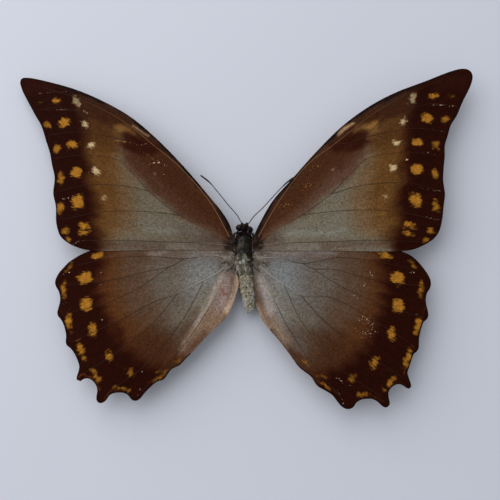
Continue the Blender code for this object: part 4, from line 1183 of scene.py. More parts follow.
@dataclass(frozen=True)
class WingFinish(Finish):
    """The scaled upper face of a wing: its ground, feathered marks and rows of scales.

    A scale of a pattern counts its lumps along and round the rays that run out from the wing's root.
    """

    ray_strength: float = 0.07
    ray_scale: Place = (3.0, 60.0, 1.0)
    row_scale: Place = (220.0, 260.0, 1.0)
    fray_scale: Place = (60.0, 170.0, 1.0)
    fray_from: Point = (2.0, 5.0)
    fray: Point = (1.0, 2.4)
    lump_scale: Place = (32.0, 62.0, 1.0)
    lump: float = 2.2
    mark_edge: Point = (-0.3, 0.9)
    row_gloss: float = 0.08
    fleck_scale: float = 2600.0
    fleck_limit: float = 0.74
    fleck_drop: float = 0.38
    fleck_edge: float = 0.05
    fleck_onset: float = 6.0
    margin_edge: Point = (0.15, 0.6)

    def centred(self, shader: Shader, rays: Socket, scale: Place, detail: float) -> Socket:
        """Noise along the rays, from -0.5 to 0.5."""
        return shader.maths("SUBTRACT", shader.noise(shader.stretched(rays, scale), 1.0, detail), 0.5)

    def stray(self, shader: Shader, rays: Socket) -> Socket:
        """How far the edge of a mark strays, in mm: a fringe, finer at the margin, on broad lumps."""
        reach = shader.ramp(shader.attribute("margin", "Fac"), *self.fray_from, *self.fray)
        fringe = shader.maths("MULTIPLY", self.centred(shader, rays, self.fray_scale, 3.0), reach)
        lumps = shader.maths("MULTIPLY", self.centred(shader, rays, self.lump_scale, 1.0), self.lump)
        return shader.maths("ADD", fringe, lumps)

    def worn_off(self, shader: Shader, place: Socket) -> Socket:
        """The share of each spot that has lost its scales, in flecks."""
        wear = shader.attribute("wear", "Fac")
        limit = shader.maths("SUBTRACT", self.fleck_limit, shader.maths("MULTIPLY", wear, self.fleck_drop))
        flecks = shader.ramp(shader.noise(place, self.fleck_scale, 2.0), limit,
                             shader.maths("ADD", limit, self.fleck_edge))
        return shader.maths("MULTIPLY", flecks, shader.maths("MULTIPLY", wear, self.fleck_onset, clamp=True))

    def material(self) -> bpy.types.Material:
        """The finish as a material."""
        material, shader, surface = self.start()
        place = shader.add("ShaderNodeTexCoord").outputs["Object"]
        rays = shader.add("ShaderNodeUVMap", uv_map="rays").outputs[0]
        streak = shader.noise(shader.stretched(rays, self.ray_scale), 1.0, 3.0)
        rows = shader.noise(shader.stretched(rays, self.row_scale), 1.0, 1.0)
        stray = self.stray(shader, rays)
        ground = shader.attribute("ground", "Color")
        for name, colour in (("orange", shader.mix(rows, ORANGE_DARK, ORANGE_LIGHT)), ("cream", CREAM)):
            mask = shader.ramp(shader.maths("ADD", shader.attribute(name, "Fac"), stray), *self.mark_edge)
            strength = shader.attribute(f"{name}_strength", "Fac")
            ground = shader.mix(shader.maths("MULTIPLY", mask, strength), ground, colour)
        brightness = shader.ramp(streak, 0.3, 0.7, 1.0 - self.ray_strength, 1.0 + self.ray_strength)
        rayed = shader.add("ShaderNodeVectorMath", {0: ground}, operation="SCALE")
        shader.feed(rayed.inputs["Scale"], brightness)
        speckle = self.mottled(shader, rayed.outputs[0], place)
        worn_colour = shader.mix(self.worn_off(shader, place), speckle.outputs["Colour"],
                                 shader.attribute("wear_colour", "Color"))
        edge = shader.ramp(shader.attribute("margin", "Fac"), *self.margin_edge)
        shader.feed(surface.inputs["Base Color"], shader.mix(edge, MARGIN_LINE, worn_colour))
        shader.feed(surface.inputs["Roughness"], shader.ramp(rows, 0.3, 0.7, self.roughness - self.row_gloss,
                                                             self.roughness + self.row_gloss))
        self.relief(shader, surface, rows)
        return material


@dataclass(frozen=True)
class EyeFinish(Finish):
    """A compound eye's glossy dome of small facets."""

    facet: float = 9000.0
    rim: Colour = paint(16, 10, 9)

    def material(self) -> bpy.types.Material:
        """The finish as a material."""
        material, shader, surface = self.start()
        place = shader.add("ShaderNodeTexCoord").outputs["Object"]
        cells = shader.add("ShaderNodeTexVoronoi", {"Vector": place, "Scale": self.facet})
        rim = shader.ramp(cells.outputs["Distance"], 0.2, 0.7, 1.0, 0.0)
        tone = shader.mix(rim, self.rim, shader.attribute("ground", "Color"))
        shader.feed(surface.inputs["Base Color"], tone)
        self.relief(shader, surface, rim)
        return material


WING_FINISH = WingFinish("wing_scales", 0.8, coarse=1100.0, fine=2600.0, amount=0.27, bump=0.35,
                         bump_height=0.00004, specular=0.04)
UNDERWING_FINISH = Finish("underwing_scales", 0.8, amount=0.16, specular=0.04, colour_layer="under")
VEIN_FINISH = Finish("vein", 0.5, amount=0.1, specular=0.1)
SKIN_FINISH = Finish("body_skin", 0.7, amount=0.25, bump=0.5, bump_height=0.00005)
HAIR_FINISH = Finish("hair", 0.7, coarse=2500.0, fine=9000.0, amount=0.15, bump=0.1, specular=0.12)
HORN_FINISH = Finish("horn", 0.42, amount=0.2, bump=0.3)
EYE_FINISH = EyeFinish("eye_dome", 0.2, bump=0.15, coat=0.05, specular=0.14)

# Colours of the body
HAIR_BLACK = paint(31, 21, 18)
HAIR_BROWN = paint(50, 32, 24)
HAIR_GREEN = paint(162, 156, 137)
ROOT_PALE = paint(170, 160, 146)
SCUTUM_OLIVE = paint(44, 37, 28)
SCALE_PALE = paint(154, 145, 125)
SCALE_DARK = paint(80, 70, 56)
HORN_DARK = paint(44, 38, 36)
HORN_BROWN = paint(58, 42, 32)
EYE_BROWN = paint(20, 11, 9)


@dataclass
class Spread:
    """How one side's wings are held: the height of their middle plane along the span."""

    lift: float
    droop: float
    root_height: float = 8.1
    lift_span: float = 70.0
    droop_start: float = 35.0
    droop_span: float = 45.0

    def height(self, x: Array) -> Array:
        """The middle plane's height at places across the span."""
        out = np.abs(x)
        rise = self.lift * np.sin(np.minimum(out / self.lift_span, 1.0) * np.pi / 2)
        fall = self.droop * (np.maximum(0.0, out - self.droop_start) / self.droop_span) ** 2
        return self.root_height + rise - fall


SPREADS = {Side.LEFT: Spread(lift=0.8, droop=6.0), Side.RIGHT: Spread(lift=1.0, droop=0.3)}

# Abdomen: axis points with the radius there, front to back
ABDOMEN = (
    (0.6, -7.3, 6.2, 1.6), (0.7, -8.4, 6.1, 2.15), (1.0, -11.0, 5.7, 2.25),
    (1.4, -14.0, 5.2, 2.15), (1.8, -17.0, 4.7, 1.95), (2.05, -19.0, 4.35, 1.6),
    (2.15, -20.0, 4.15, 1.05), (2.2, -20.4, 4.1, 0.45),
)


@dataclass(frozen=True)
class Root:
    """Where a kind of wing joins the body, on the right: its level, its rays' hub and its hair.

    The level is the upper face's height over the side's middle plane. The hair's places spread from
    one point and fan out from another, fan mm along the body.
    """

    level: float
    hub: Point
    hair: Point
    hair_spread: Point
    fan: float
    pale: Colour
    dark: Colour


ROOTS = {
    WingKind.FOREWING: Root(0.6, (4.0, 1.5), (3.2, 1.6), (1.1, 1.2), -1.0, ROOT_BROWN, HAIR_BLACK),
    WingKind.HINDWING: Root(-0.3, (4.0, -3.0), (3.2, -4.0), (1.8, 1.8), 1.0, ROOT_PALE, ROOT_BROWN),
}


@dataclass
class Wing:
    """One wing: a thin scaled membrane with its raised veins."""

    side: Side
    kind: WingKind
    pattern: Pattern
    veins: tuple[Vein, ...]
    margin: tuple[Point, ...]
    # painted sheen: the wing's colours scaled darker or warmer for its angle to the light
    tone: Colour = (1.0, 1.0, 1.0)
    pitch: float = 0.42
    outline_step: float = 0.7
    rim_share: float = 0.4
    weld: float = 0.05
    thickness: float = 0.16
    sag: float = 0.16
    sag_width: float = 1.6
    ripple: float = 0.22
    ripple_size: float = 9.0
    ripple_from: Point = (3.0, 14.0)
    ripple_top: float = 0.1
    closing: float = 0.3
    closing_to: Point = (2.0, 6.0)
    fold_depth: float = 1.6
    fold_width: float = 2.4
    fold_reach: float = 2.6
    fold_start: float = 4.0
    fold_run: float = 4.0
    ray_length: float = 80.0
    ray_hub: float = 6.0
    vein_sides: int = 6
    vein_tip: float = 0.07
    vein_taper: float = 0.6
    vein_rise: float = 0.02
    vein_brown: float = 0.75
    streak: float = 1.2
    streak_turns: float = 36.0
    streak_rate: float = 0.12
    streak_root: float = 2.0
    strays: tuple[tuple[float, float, int], ...] = ((1.7, 0.4, 5), (6.0, 0.8, 7))
    one_side_stray: float = 0.35
    root_hair: Coat = Coat(1200, 0.8, 2.6, 0.04, 0.94, 0.95, 0.2, clumps=90, gather=0.5, contrast=0.4)
    root_reach: float = 6.5
    root_rise: float = 0.05
    root_paleness: float = 1.4
    crease: float = 60.0
    vein_crease: float = 80.0

    @property
    def name(self) -> str:
        """The name of the solid that the wing stands for."""
        return f"{self.kind.value}_{self.side.value}"

    def fold(self, points: Array) -> Array:
        """How far a hindwing turns down beside the abdomen."""
        axis = np.array([station[:2] for station in ABDOMEN])
        away = np.maximum(0.0, distance_to_run(points, axis) - self.fold_reach)
        start = np.clip((-self.fold_start - points[:, 1]) / self.fold_run, 0.0, 1.0)
        return self.fold_depth * start * np.exp(-((away / self.fold_width) ** 2))

    def heights(self, points: Array) -> Array:
        """The upper face's height at plan readings, with the sag between veins and the ripples.

        Args:
            points: plan readings, one a row.

        Returns:
            One height for each reading.
        """
        to_vein = np.min([distance_to_run(points, vein.route(self.side)) for vein in self.veins], axis=0)
        sag = self.sag * (1.0 - np.exp(-((to_vein / self.sag_width) ** 2)))
        from_middle = np.abs(points[:, 1])
        ripple = (self.ripple * smooth_step(*self.ripple_from, from_middle)
                  * clouds(points, self.ripple_size, 3 + len(self.name)))
        closing = self.closing * (1.0 - smooth_step(*self.closing_to, from_middle))
        level = SPREADS[self.side].height(points[:, 0]) + ROOTS[self.kind].level
        if self.kind is WingKind.HINDWING:
            return level - self.fold(points) + closing - sag + np.minimum(ripple, self.ripple_top)
        return level - closing - sag + np.minimum(ripple, self.ripple_top)

    def membrane(self) -> tuple[bpy.types.Object, Array]:
        """A level sheet of the wing's plan, cut from a grid, and its readings."""
        outline = spline(self.margin, self.outline_step, closed=True)
        ring = np.vstack([outline, outline[:1]])
        low, high = outline.min(axis=0) - self.pitch, outline.max(axis=0) + self.pitch
        columns, rows = (int(round(span / self.pitch)) for span in high - low)
        made = grid(f"{self.name}_scaled", columns, rows)
        plan = low + (corners_of(made)[:, :2] + 0.5) * (high - low)
        place_corners(made, np.column_stack([plan, np.zeros(len(plan))]))
        kept = inside(plan, outline)
        kept[kept] = distance_to_run(plan[kept], ring) > self.rim_share * self.pitch
        with editing(made):
            bpy.ops.mesh.select_all(action="DESELECT")
        made.data.vertices.foreach_set("select", ~kept)
        with editing(made):
            bpy.ops.mesh.delete(type="VERT")
        inner = len(made.data.vertices)
        with editing(made, "EDGE"):
            bpy.ops.mesh.select_all(action="DESELECT")
            bpy.ops.mesh.select_non_manifold(extend=False, use_wire=True, use_boundary=True,
                                             use_multi_face=False, use_non_contiguous=False,
                                             use_verts=False)
            bpy.ops.mesh.extrude_region_move(TRANSFORM_OT_translate={"value": (0.0, 0.0, 0.0)})
        places = corners_of(made)
        places[inner:, :2] = nearest_on_run(places[inner:, :2], ring)
        place_corners(made, places)
        with editing(made):
            bpy.ops.mesh.select_all(action="SELECT")
            bpy.ops.mesh.remove_doubles(threshold=self.weld)
            bpy.ops.mesh.normals_make_consistent(inside=False)
        if made.data.polygons[0].normal.z < 0:
            with editing(made):
                bpy.ops.mesh.select_all(action="SELECT")
                bpy.ops.mesh.flip_normals()
        return made, corners_of(made)[:, :2]

    def painted(self, points: Array, ground: Colour, washes: tuple[Wash, ...]) -> Array:
        """The colours that washes leave on a ground, mixed as the eye sees them.

        Args:
            points: plan readings, one a row.
            ground: the colour under the washes.
            washes: the washes, the lowest first.

        Returns:
            One colour for each reading.
        """
        colours = np.tile(np.sqrt(ground), (len(points), 1))
        out = points - (self.side.outward * self.streak_root, 0.0)
        reach, turn = np.hypot(*out.T), np.arctan2(out[:, 1], np.abs(out[:, 0]))
        streaks = clouds(np.column_stack([turn * self.streak_turns, reach * self.streak_rate]), 1.0, 9)
        stray = sum(np.column_stack([clouds(points, size, seed), clouds(points, size, seed + 1)]) * far
                    for size, far, seed in self.strays) + unit(out) * streaks[:, None] * self.streak
        for wash in washes:
            if wash.side in (None, self.side):
                strayed = points + stray * (1.0 if wash.side is None else self.one_side_stray)
                share = wash.mask(strayed, self.pattern.placed(wash, self.side))[:, None]
                colours = colours * (1 - share) + np.sqrt(wash.colour) * share
        # the tone paints the wing's sheen into its colours
        return colours ** 2 * self.tone

    def to_margin(self, points: Array) -> Array:
        """The distance from plan readings to the wing's outer margin."""
        outline = spline(self.margin, self.outline_step)
        return distance_to_run(points, outline[np.abs(outline[:, 0]) > self.pattern.outer_from])

    def give_wear(self, obj: bpy.types.Object, points: Array) -> None:
        """Store how far the scales are worn off at each corner, from 0 to 1, and what shows there."""
        wear = np.zeros(len(points))
        colours = np.tile(np.array(SCRATCH), (len(points), 1))
        for wash in self.pattern.wear:
            if wash.side is self.side:
                here = wash.mask(points, np.array(wash.line, float))
                colours[here > wear] = wash.colour
                wear = np.maximum(wear, here)
        give_value(obj, "wear", wear)
        give_colour(obj, "wear_colour", colours)

    def paint_marks(self, obj: bpy.types.Object, points: Array) -> None:
        """Store how deep each corner lies in the orange and cream marks, and how strong they are."""
        for name, spots in (("orange", self.pattern.orange), ("cream", self.pattern.cream)):
            depth = np.full(len(points), OUTSIDE_MARKS)
            strength = np.zeros(len(points))
            for spot in spots:
                here = spot.depth(points, self.side)
                strength = np.where(here > depth, spot.strength, strength)
                depth = np.maximum(depth, here)
            give_value(obj, name, depth)
            give_value(obj, f"{name}_strength", strength)

    def lay_rays(self, obj: bpy.types.Object, points: Array) -> None:
        """Give the mesh a map whose u runs out from the wing's root and whose v turns round it."""
        outward = (self.side.outward, 1.0)
        x, y = ((points - np.array(ROOTS[self.kind].hub) * outward) * outward).T
        rays = np.column_stack([np.hypot(x, y) / self.ray_length,
                                np.arctan2(y, x + self.ray_hub) / (np.pi / 2)])
        layer = obj.data.uv_layers.new(name="rays")
        corners = np.empty(len(obj.data.loops), int)
        obj.data.loops.foreach_get("vertex_index", corners)
        layer.data.foreach_set("uv", rays[corners].astype(np.float32).ravel())

    def vein_tubes(self, material: bpy.types.Material) -> list[bpy.types.Object]:
        """The raised veins, each a tapering tube half sunk in the membrane.

        Args:
            material: the veins' material.

        Returns:
            The tubes.
        """
        tubes = []
        for number, vein in enumerate(self.veins):
            route = vein.route(self.side)
            line = sighted(route, self.heights(route) + self.vein_rise)
            taper = np.linspace(0.0, 1.0, len(line)) ** self.vein_taper
            radii = vein.girth * (1 - taper) + self.vein_tip * taper
            made = rolled(f"{self.name}_vein_{number}", tube_rings(line, radii, self.vein_sides))
            plan = corners_of(made)[:, :2]
            under = self.painted(plan, self.pattern.ground, self.pattern.washes)
            out = np.hypot(*plan.T)[:, None]
            root_share = 1.0 - smooth_step(0.5 * vein.pale_to, vein.pale_to, out)
            colours = (1.0 - self.vein_brown) * under + self.vein_brown * np.array(VEIN_BROWN)
            dress(made, colours * (1 - root_share) + np.array(vein.colour) * root_share, material,
                  self.vein_crease)
            tubes.append(made)
        return tubes

    def hair(self) -> bpy.types.Object:
        """Hair that lies over the wing's root and fans out along the veins."""
        rng = np.random.default_rng(80)
        root = ROOTS[self.kind]
        spread = rng.normal(0.0, 1.0, (self.root_hair.count, 2)) * root.hair_spread
        spread[:, 0] = np.abs(spread[:, 0]) * self.side.outward
        plan = np.array(root.hair) * (self.side.outward, 1.0) + spread
        ring = spline(self.margin, self.outline_step, closed=True)
        plan = plan[inside(plan, ring) & (np.linalg.norm(spread, axis=1) < self.root_reach)]
        lay = np.column_stack([unit(plan - (0.0, root.fan)), np.zeros(len(plan))])
        ups = np.tile((0.0, 0.0, 1.0), (len(plan), 1))
        share = rng.uniform(0.0, 1.0, (len(plan), 1)) ** self.root_paleness
        colours = np.array(root.dark) * share + np.array(root.pale) * (1 - share)
        roots = sighted(plan, self.heights(plan) + self.root_rise)
        return grow(f"{self.name}_root_hair", self.root_hair, roots, ups, lay, colours, 81)

    def build(self, materials: "Materials") -> bpy.types.Object:
        """Model and dress the wing.

        Args:
            materials: the specimen's materials.

        Returns:
            The finished wing.
        """
        made, points = self.membrane()
        give_colour(made, "ground", self.painted(points, self.pattern.ground, self.pattern.washes))
        give_colour(made, "under", self.painted(points, self.pattern.under_ground,
                                                self.pattern.under_washes))
        give_value(made, "margin", self.to_margin(points))
        self.give_wear(made, points)
        self.paint_marks(made, points)
        self.lay_rays(made, points)
        place_corners(made, sighted(points, self.heights(points)))
        made.data.materials.append(materials.wing)
        made.data.materials.append(materials.underwing)
        pick(made)
        solid = made.modifiers.new("thickness", "SOLIDIFY")
        solid.thickness = self.thickness
        solid.offset = -1.0
        solid.material_offset = 1
        bpy.ops.object.modifier_apply(modifier=solid.name)
        smooth(made, self.crease)
        hair = self.hair()
        hair.data.materials.append(materials.hair)
        made = join(f"{self.name}_scaled", made, *self.vein_tubes(materials.vein), hair)
        finish_piece(made, self.name)
        return made


@dataclass(frozen=True)
class Materials:
    """The specimen's materials, each made once."""

    wing: bpy.types.Material
    underwing: bpy.types.Material
    vein: bpy.types.Material
    skin: bpy.types.Material
    hair: bpy.types.Material
    horn: bpy.types.Material
    eye: bpy.types.Material


@dataclass
class Thorax:
    """The furred thorax: smooth on its back, shaggy at its rear and flat underneath."""

    stations: tuple[tuple[float, float, float, float], ...] = (
        (6.7, 1.5, 4.4, 8.2), (6.3, 2.2, 3.0, 9.2), (5.6, 2.6, 1.4, 9.9), (5.0, 2.65, 0.2, 10.0),
        (4.3, 2.8, -0.9, 10.6), (3.0, 3.05, -1.2, 11.1), (1.0, 3.15, -1.3, 11.4),
        (-1.0, 3.15, -1.3, 11.3), (-2.6, 3.1, -1.3, 10.9), (-3.4, 3.05, -1.2, 10.3),
        (-4.3, 2.95, -1.0, 10.5), (-5.4, 2.6, 0.2, 9.9), (-6.3, 2.1, 1.8, 9.0), (-6.9, 1.5, 3.4, 7.8),
    )
    station_step: float = 0.4
    sides: int = 48
    oval_power: float = 2.4
    inset: float = 0.22
    ridge: float = 0.1
    back: Coat = Coat(3400, 0.4, 1.1, 0.035, 0.9, 0.9, 0.25, clumps=90, gather=0.7, contrast=0.85)
    ruff: Coat = Coat(3000, 0.6, 1.4, 0.035, 0.8, 0.75, 0.4, clumps=90, gather=0.6, contrast=0.4)
    shag: Coat = Coat(7500, 1.0, 2.6, 0.04, 0.55, 0.65, 0.6, clumps=150, gather=0.9, contrast=0.5)
    skin_share: float = 0.35
    black_from: Point = (2.5, 5.0)
    green_from: Point = (-3.4, -1.2)
    green_loss: float = 0.75
    green_side: Point = (0.3, 1.6)
    green_end: Point = (-6.0, -4.8)
    brown_to: Point = (3.0, 8.0)

    def rings(self) -> Array:
        """The skin's rings, a little inside the solid so that the hair stays within reach of it."""
        dense = spline(self.stations, self.station_step)
        turn = 2 * np.pi * (np.arange(self.sides) + 0.5) / self.sides
        across, up = np.cos(turn), np.sin(turn)
        size = (np.abs(across) ** self.oval_power + np.abs(up) ** self.oval_power) ** (-1 / self.oval_power)
        rings = []
        for y, half_width, low, high in dense:
            x = (half_width - self.inset) * size * across
            z = (low + high) / 2 + ((high - low) / 2 - self.inset) * size * up
            z += self.ridge * np.maximum(0.0, up) * np.cos(3 * np.pi * x / half_width)
            rings.append(np.column_stack([x, np.full(self.sides, y), np.maximum(0.0, z)]))
        return np.array(rings)

    def colours(self, places: Array) -> Array:
        """The thorax's colours: black in front, olive on the back and grey-green at the rear."""
        x, y, z = places.T
        front = smooth_step(*self.black_from, y)[:, None]
        rear = ((1.0 - smooth_step(*self.green_from, y))
                * (1.0 - self.green_loss * smooth_step(*self.green_side, x)
                   * smooth_step(*self.green_end, y)))[:, None]
        low = (1.0 - smooth_step(*self.brown_to, z))[:, None]
        base = np.array(SCUTUM_OLIVE) * (1 - front) + np.array(HAIR_BLACK) * front
        base = base * (1 - rear) + np.array(HAIR_GREEN) * rear
        return base * (1 - low) + np.array(HAIR_BROWN) * low

    def build(self, materials: Materials) -> None:
        """Model and dress the thorax."""
        rings = self.rings()
        skin = rolled("thorax_furred", rings)
        dress(skin, self.colours(corners_of(skin)) * self.skin_share, materials.horn)
        rng = np.random.default_rng(11)
        coats = [grown(f"thorax_coat_{number}", rings, coat, rng, 20 + number, self.colours,
                       materials.hair, rows, turns)
                 for number, (coat, rows, turns) in enumerate((
                     (self.back, (0.1, 0.75), (0.0, 0.5)), (self.ruff, (0.0, 0.25), (-0.1, 0.6)),
                     (self.shag, (0.6, 1.0), (-0.12, 0.62))))]
        finish_piece(join("thorax_furred", skin, *coats), "thorax")


@dataclass
class Abdomen:
    """The abdomen: overlapping segments under a coat of small scales."""

    station_step: float = 0.18
    segments: int = 8
    segment_step: float = 0.14
    sides: int = 40
    inset: float = 0.1
    scales: Coat = Coat(11000, 0.45, 1.0, 0.035, 0.66, 0.55, 0.55, 1.8, clumps=420, gather=0.8,
                        contrast=0.32)
    rear_gain: float = 2.9
    tuft: Coat = Coat(900, 0.6, 1.2, 0.03, 0.8, 0.4, 0.4, clumps=30, gather=0.7, contrast=0.3)
    skin_share: float = 0.22
    mottle_size: float = 0.9
    rear_from: Point = (8.0, 18.0)

    def rings(self) -> Array:
        """The skin's rings, stepped at each segment's rear edge."""
        dense = spline(ABDOMEN, self.station_step)
        first, last = dense[0, 1], dense[-1, 1]
        within = ((dense[:, 1] - first) / (last - first) * self.segments) % 1.0
        radii = dense[:, 3] - self.inset + self.segment_step * (within - 0.5)
        return tube_rings(dense[:, :3], np.maximum(radii, 0.2), self.sides)

    def colours(self, places: Array) -> Array:
        """Mottled grey-yellow scales, brighter towards the rear."""
        share = 0.5 + 0.5 * clouds(places[:, :2], self.mottle_size, 8)[:, None]
        behind = smooth_step(*self.rear_from, -places[:, 1])[:, None]
        colours = np.array(SCALE_DARK) * (1 - share) + np.array(SCALE_PALE) * share
        return colours * (1.0 + (self.rear_gain - 1.0) * behind)

    def build(self, materials: Materials) -> None:
        """Model and dress the abdomen."""
        rings = self.rings()
        skin = rolled("abdomen_scaled", rings)
        dress(skin, self.colours(corners_of(skin)) * self.skin_share, materials.skin)
        rng = np.random.default_rng(12)
        coats = [grown(f"abdomen_coat_{number}", rings, coat, rng, 30 + number, self.colours,
                       materials.hair, rows)
                 for number, (coat, rows) in enumerate(((self.scales, (0.0, 1.0)), (self.tuft, (0.9, 1.0))))]
        finish_piece(join("abdomen_scaled", skin, *coats), "abdomen")


def furred(name: str, node: str, rings: Array, coat: Coat, seed: int, black: float,
           materials: Materials) -> None:
    """Make a dark piece with a coat of black and brown hairs stand for a solid.

    Args:
        name: the piece's name.
        node: the solid that it stands for.
        rings: the piece's rings.
        coat: its coat.
        seed: the seed for the hairs.
        black: the share of black hairs.
        materials: the specimen's materials.
    """
    skin = rolled(name, rings)
    dress(skin, HAIR_BLACK, materials.skin)
    rng = np.random.default_rng(seed)

    def two_tone(places: Array) -> Array:
        """Black or brown for each hair."""
        return np.where(rng.uniform(0, 1, (len(places), 1)) < black, HAIR_BLACK, HAIR_BROWN)

    hairs = grown(f"{name}_coat", rings, coat, rng, seed + 1, two_tone, materials.hair)
    finish_piece(join(name, skin, hairs), node)


@dataclass
class Head:
    """The furred head between the eyes, with its palps, tongue and eyes."""

    centre: Place = (0.3, 8.3, 6.6)
    semi_axes: Place = (1.2, 1.3, 1.8)
    eye_semi_axes: Place = (1.5, 1.25, 1.45)
    eye_sink: float = 0.28
    eye_offset: Point = (-0.1, 0.1)
    turn: float = 0.35
    gap: float = 0.3
    inset: float = 0.1
    fur: Coat = Coat(2600, 0.4, 1.0, 0.035, 0.5, 0.6, 0.5, clumps=70, gather=0.6, contrast=0.4)
    palp_fur: Coat = Coat(900, 0.25, 0.6, 0.025, 0.6, 0.5, 0.4)
    palp: tuple[tuple[float, float, float, float], ...] = (
        (0.85, 9.0, 4.4, 0.28), (0.9, 9.75, 5.2, 0.42), (0.85, 10.05, 6.4, 0.36), (0.8, 9.9, 7.3, 0.18))
    palp_share: float = 0.8
    tongue_centre: Place = (0.3, 9.1, 3.1)
    tongue_reach: tuple[float, float] = (1.15, 0.35)
    tongue_turns: float = 1.75
    tongue_girth: tuple[float, float] = (0.13, 0.09)
    tongue_points: int = 150
    tongue_ring: float = 0.06

    def eye(self, side: Side, materials: Materials) -> None:
        """Make one eye: a dome cut flat at the back, which sinks into the head's fur."""
        back = self.centre[0] + side.outward * (self.semi_axes[0] + self.gap)
        centre = (back, self.centre[1] - side.outward * self.turn + self.eye_offset[0],
                  self.centre[2] + self.eye_offset[1])
        made = rolled(f"eye_{side.value}_dome", ellipsoid_rings(centre, self.eye_semi_axes, 33, 48, 0))
        with editing(made):
            bpy.ops.mesh.select_all(action="SELECT")
            bpy.ops.mesh.bisect(plane_co=(back - side.outward * self.eye_sink, *centre[1:]),
                                plane_no=(side.outward, 0.0, 0.0), use_fill=True, clear_inner=True)
        dress(made, EYE_BROWN, materials.eye, 60.0)
        finish_piece(made, f"eye_{side.value}")

    def tongue(self, materials: Materials) -> None:
        """Make the tongue, coiled like a watch spring and ringed along its length."""
        share = np.linspace(0.0, 1.0, self.tongue_points)
        turn = np.pi / 2 + 2 * np.pi * self.tongue_turns * share
        reach = self.tongue_reach[0] + (self.tongue_reach[1] - self.tongue_reach[0]) * share
        line = np.column_stack([np.zeros(len(share)), -np.cos(turn) * reach, np.sin(turn) * reach])
        radii = self.tongue_girth[0] + (self.tongue_girth[1] - self.tongue_girth[0]) * share
        radii = radii * (1.0 + self.tongue_ring * np.cos(share * self.tongue_points * np.pi))
        made = rolled("proboscis_coiled", tube_rings(line + self.tongue_centre, radii, 12, (1.0, 0.0, 0.0)))
        dress(made, HORN_BROWN, materials.horn)
        finish_piece(made, "proboscis")

    def build(self, materials: Materials) -> None:
        """Model and dress the head's pieces."""
        inner = tuple(axis - self.inset for axis in self.semi_axes)
        furred("head_furred", "head", ellipsoid_rings(self.centre, inner, 25, 32),
               self.fur, 40, 0.5, materials)
        for number, side in enumerate(Side):
            line = spline([(self.centre[0] + side.outward * x, y, z, r) for x, y, z, r in self.palp], 0.15)
            furred(f"palp_{side.value}_furred", f"palp_{side.value}",
                   tube_rings(line[:, :3], line[:, 3] * self.palp_share, 16), self.palp_fur,
                   50 + 2 * number, 0.5, materials)
            self.eye(side, materials)
        self.tongue(materials)


@dataclass
class Tegula:
    """The scaled plate over a forewing's root."""

    side: Side
    centre: Place = (3.75, 3.3, 9.5)
    semi_axes: Place = (0.95, 1.7, 0.4)
    inset: float = 0.08
    scales: Coat = Coat(1100, 0.3, 0.8, 0.035, 0.9, 0.8, 0.3, 2.0, clumps=40, gather=0.6, contrast=0.5)

    def build(self, materials: Materials) -> None:
        """Model and dress the tegula."""
        name = f"tegula_{self.side.value}"
        centre = (self.side.outward * self.centre[0], self.centre[1], self.centre[2])
        inner = tuple(axis - self.inset for axis in self.semi_axes)
        furred(f"{name}_scaled", name, ellipsoid_rings(centre, inner, 21, 28)[::-1],
               self.scales, 60, 0.6, materials)


@dataclass
class Antenna:
    """A thin ringed antenna with a slight club."""

    side: Side
    readings: tuple[Place, ...]
    radius: float = 0.17
    club_radius: float = 0.32
    club_start: float = 0.75
    club_turn: float = 0.8
    segment: float = 0.42
    segment_points: int = 6
    ring_depth: float = 0.14
    ring_width: float = 0.14
    tip: Place = (0.9, 0.7, 0.35)
    sides: int = 12

    def build(self, materials: Materials) -> None:
        """Model and dress the antenna."""
        given = np.array(self.readings)
        line = spline(sighted(given[:, :2], given[:, 2]), self.segment / self.segment_points)
        share = np.linspace(0.0, 1.0, len(line))
        club = np.maximum(0.0, share - self.club_start) / (1.0 - self.club_start)
        radii = self.radius + (self.club_radius - self.radius) * np.sin(np.pi * club * self.club_turn)
        within = (np.arange(len(line)) / self.segment_points) % 1.0
        radii = radii * (1.0 - self.ring_depth * np.exp(-((within - 0.5) / self.ring_width) ** 2))
        radii[-3:] *= self.tip
        made = rolled(f"antenna_{self.side.value}_ringed", tube_rings(line, radii, self.sides))
        dress(made, HORN_DARK, materials.horn, 80.0)
        finish_piece(made, f"antenna_{self.side.value}")


@dataclass
class Leg:
    """A folded leg: thigh, shin and foot, with rows of fine spines."""

    side: Side
    kind: str
    joints: tuple[tuple[float, float, float, float], ...]
    spines: Coat = Coat(260, 0.3, 0.55, 0.025, 0.45, 0.2, 0.2)
    spines_from: float = 0.3
    lowest_spine: float = 0.1
    ring_count: int = 8
    ring_depth: float = 0.12
    ring_width: float = 0.1
    skin_share: float = 0.95
    sides: int = 14

    def build(self, materials: Materials) -> None:
        """Model and dress the leg."""
        name = f"{self.kind}_{self.side.value}"
        line = spline([(x * self.side.outward, y, z, r) for x, y, z, r in self.joints], 0.2)
        within = (np.linspace(0.0, 1.0, len(line)) * self.ring_count) % 1.0
        ringed = 1.0 - self.ring_depth * np.exp(-((within - 0.5) / self.ring_width) ** 2)
        rings = tube_rings(line[:, :3], line[:, 3] * ringed * self.skin_share, self.sides)
        skin = rolled(f"{name}_jointed", rings)
        dress(skin, HORN_BROWN, materials.horn)
        rng = np.random.default_rng(70)
        places, normals, along = Skin(rings).sample(rng.uniform(self.spines_from, 1, self.spines.count),
                                                    rng.uniform(0, 1, self.spines.count))
        places[:, 2] = np.maximum(places[:, 2], self.lowest_spine)
        normals[:, 2] = np.abs(normals[:, 2])
        hairs = grow(f"{name}_spines", self.spines, places, unit(normals), along, HAIR_BLACK, 71)
        hairs.data.materials.append(materials.hair)
        finish_piece(join(f"{name}_jointed", skin, hairs), name)


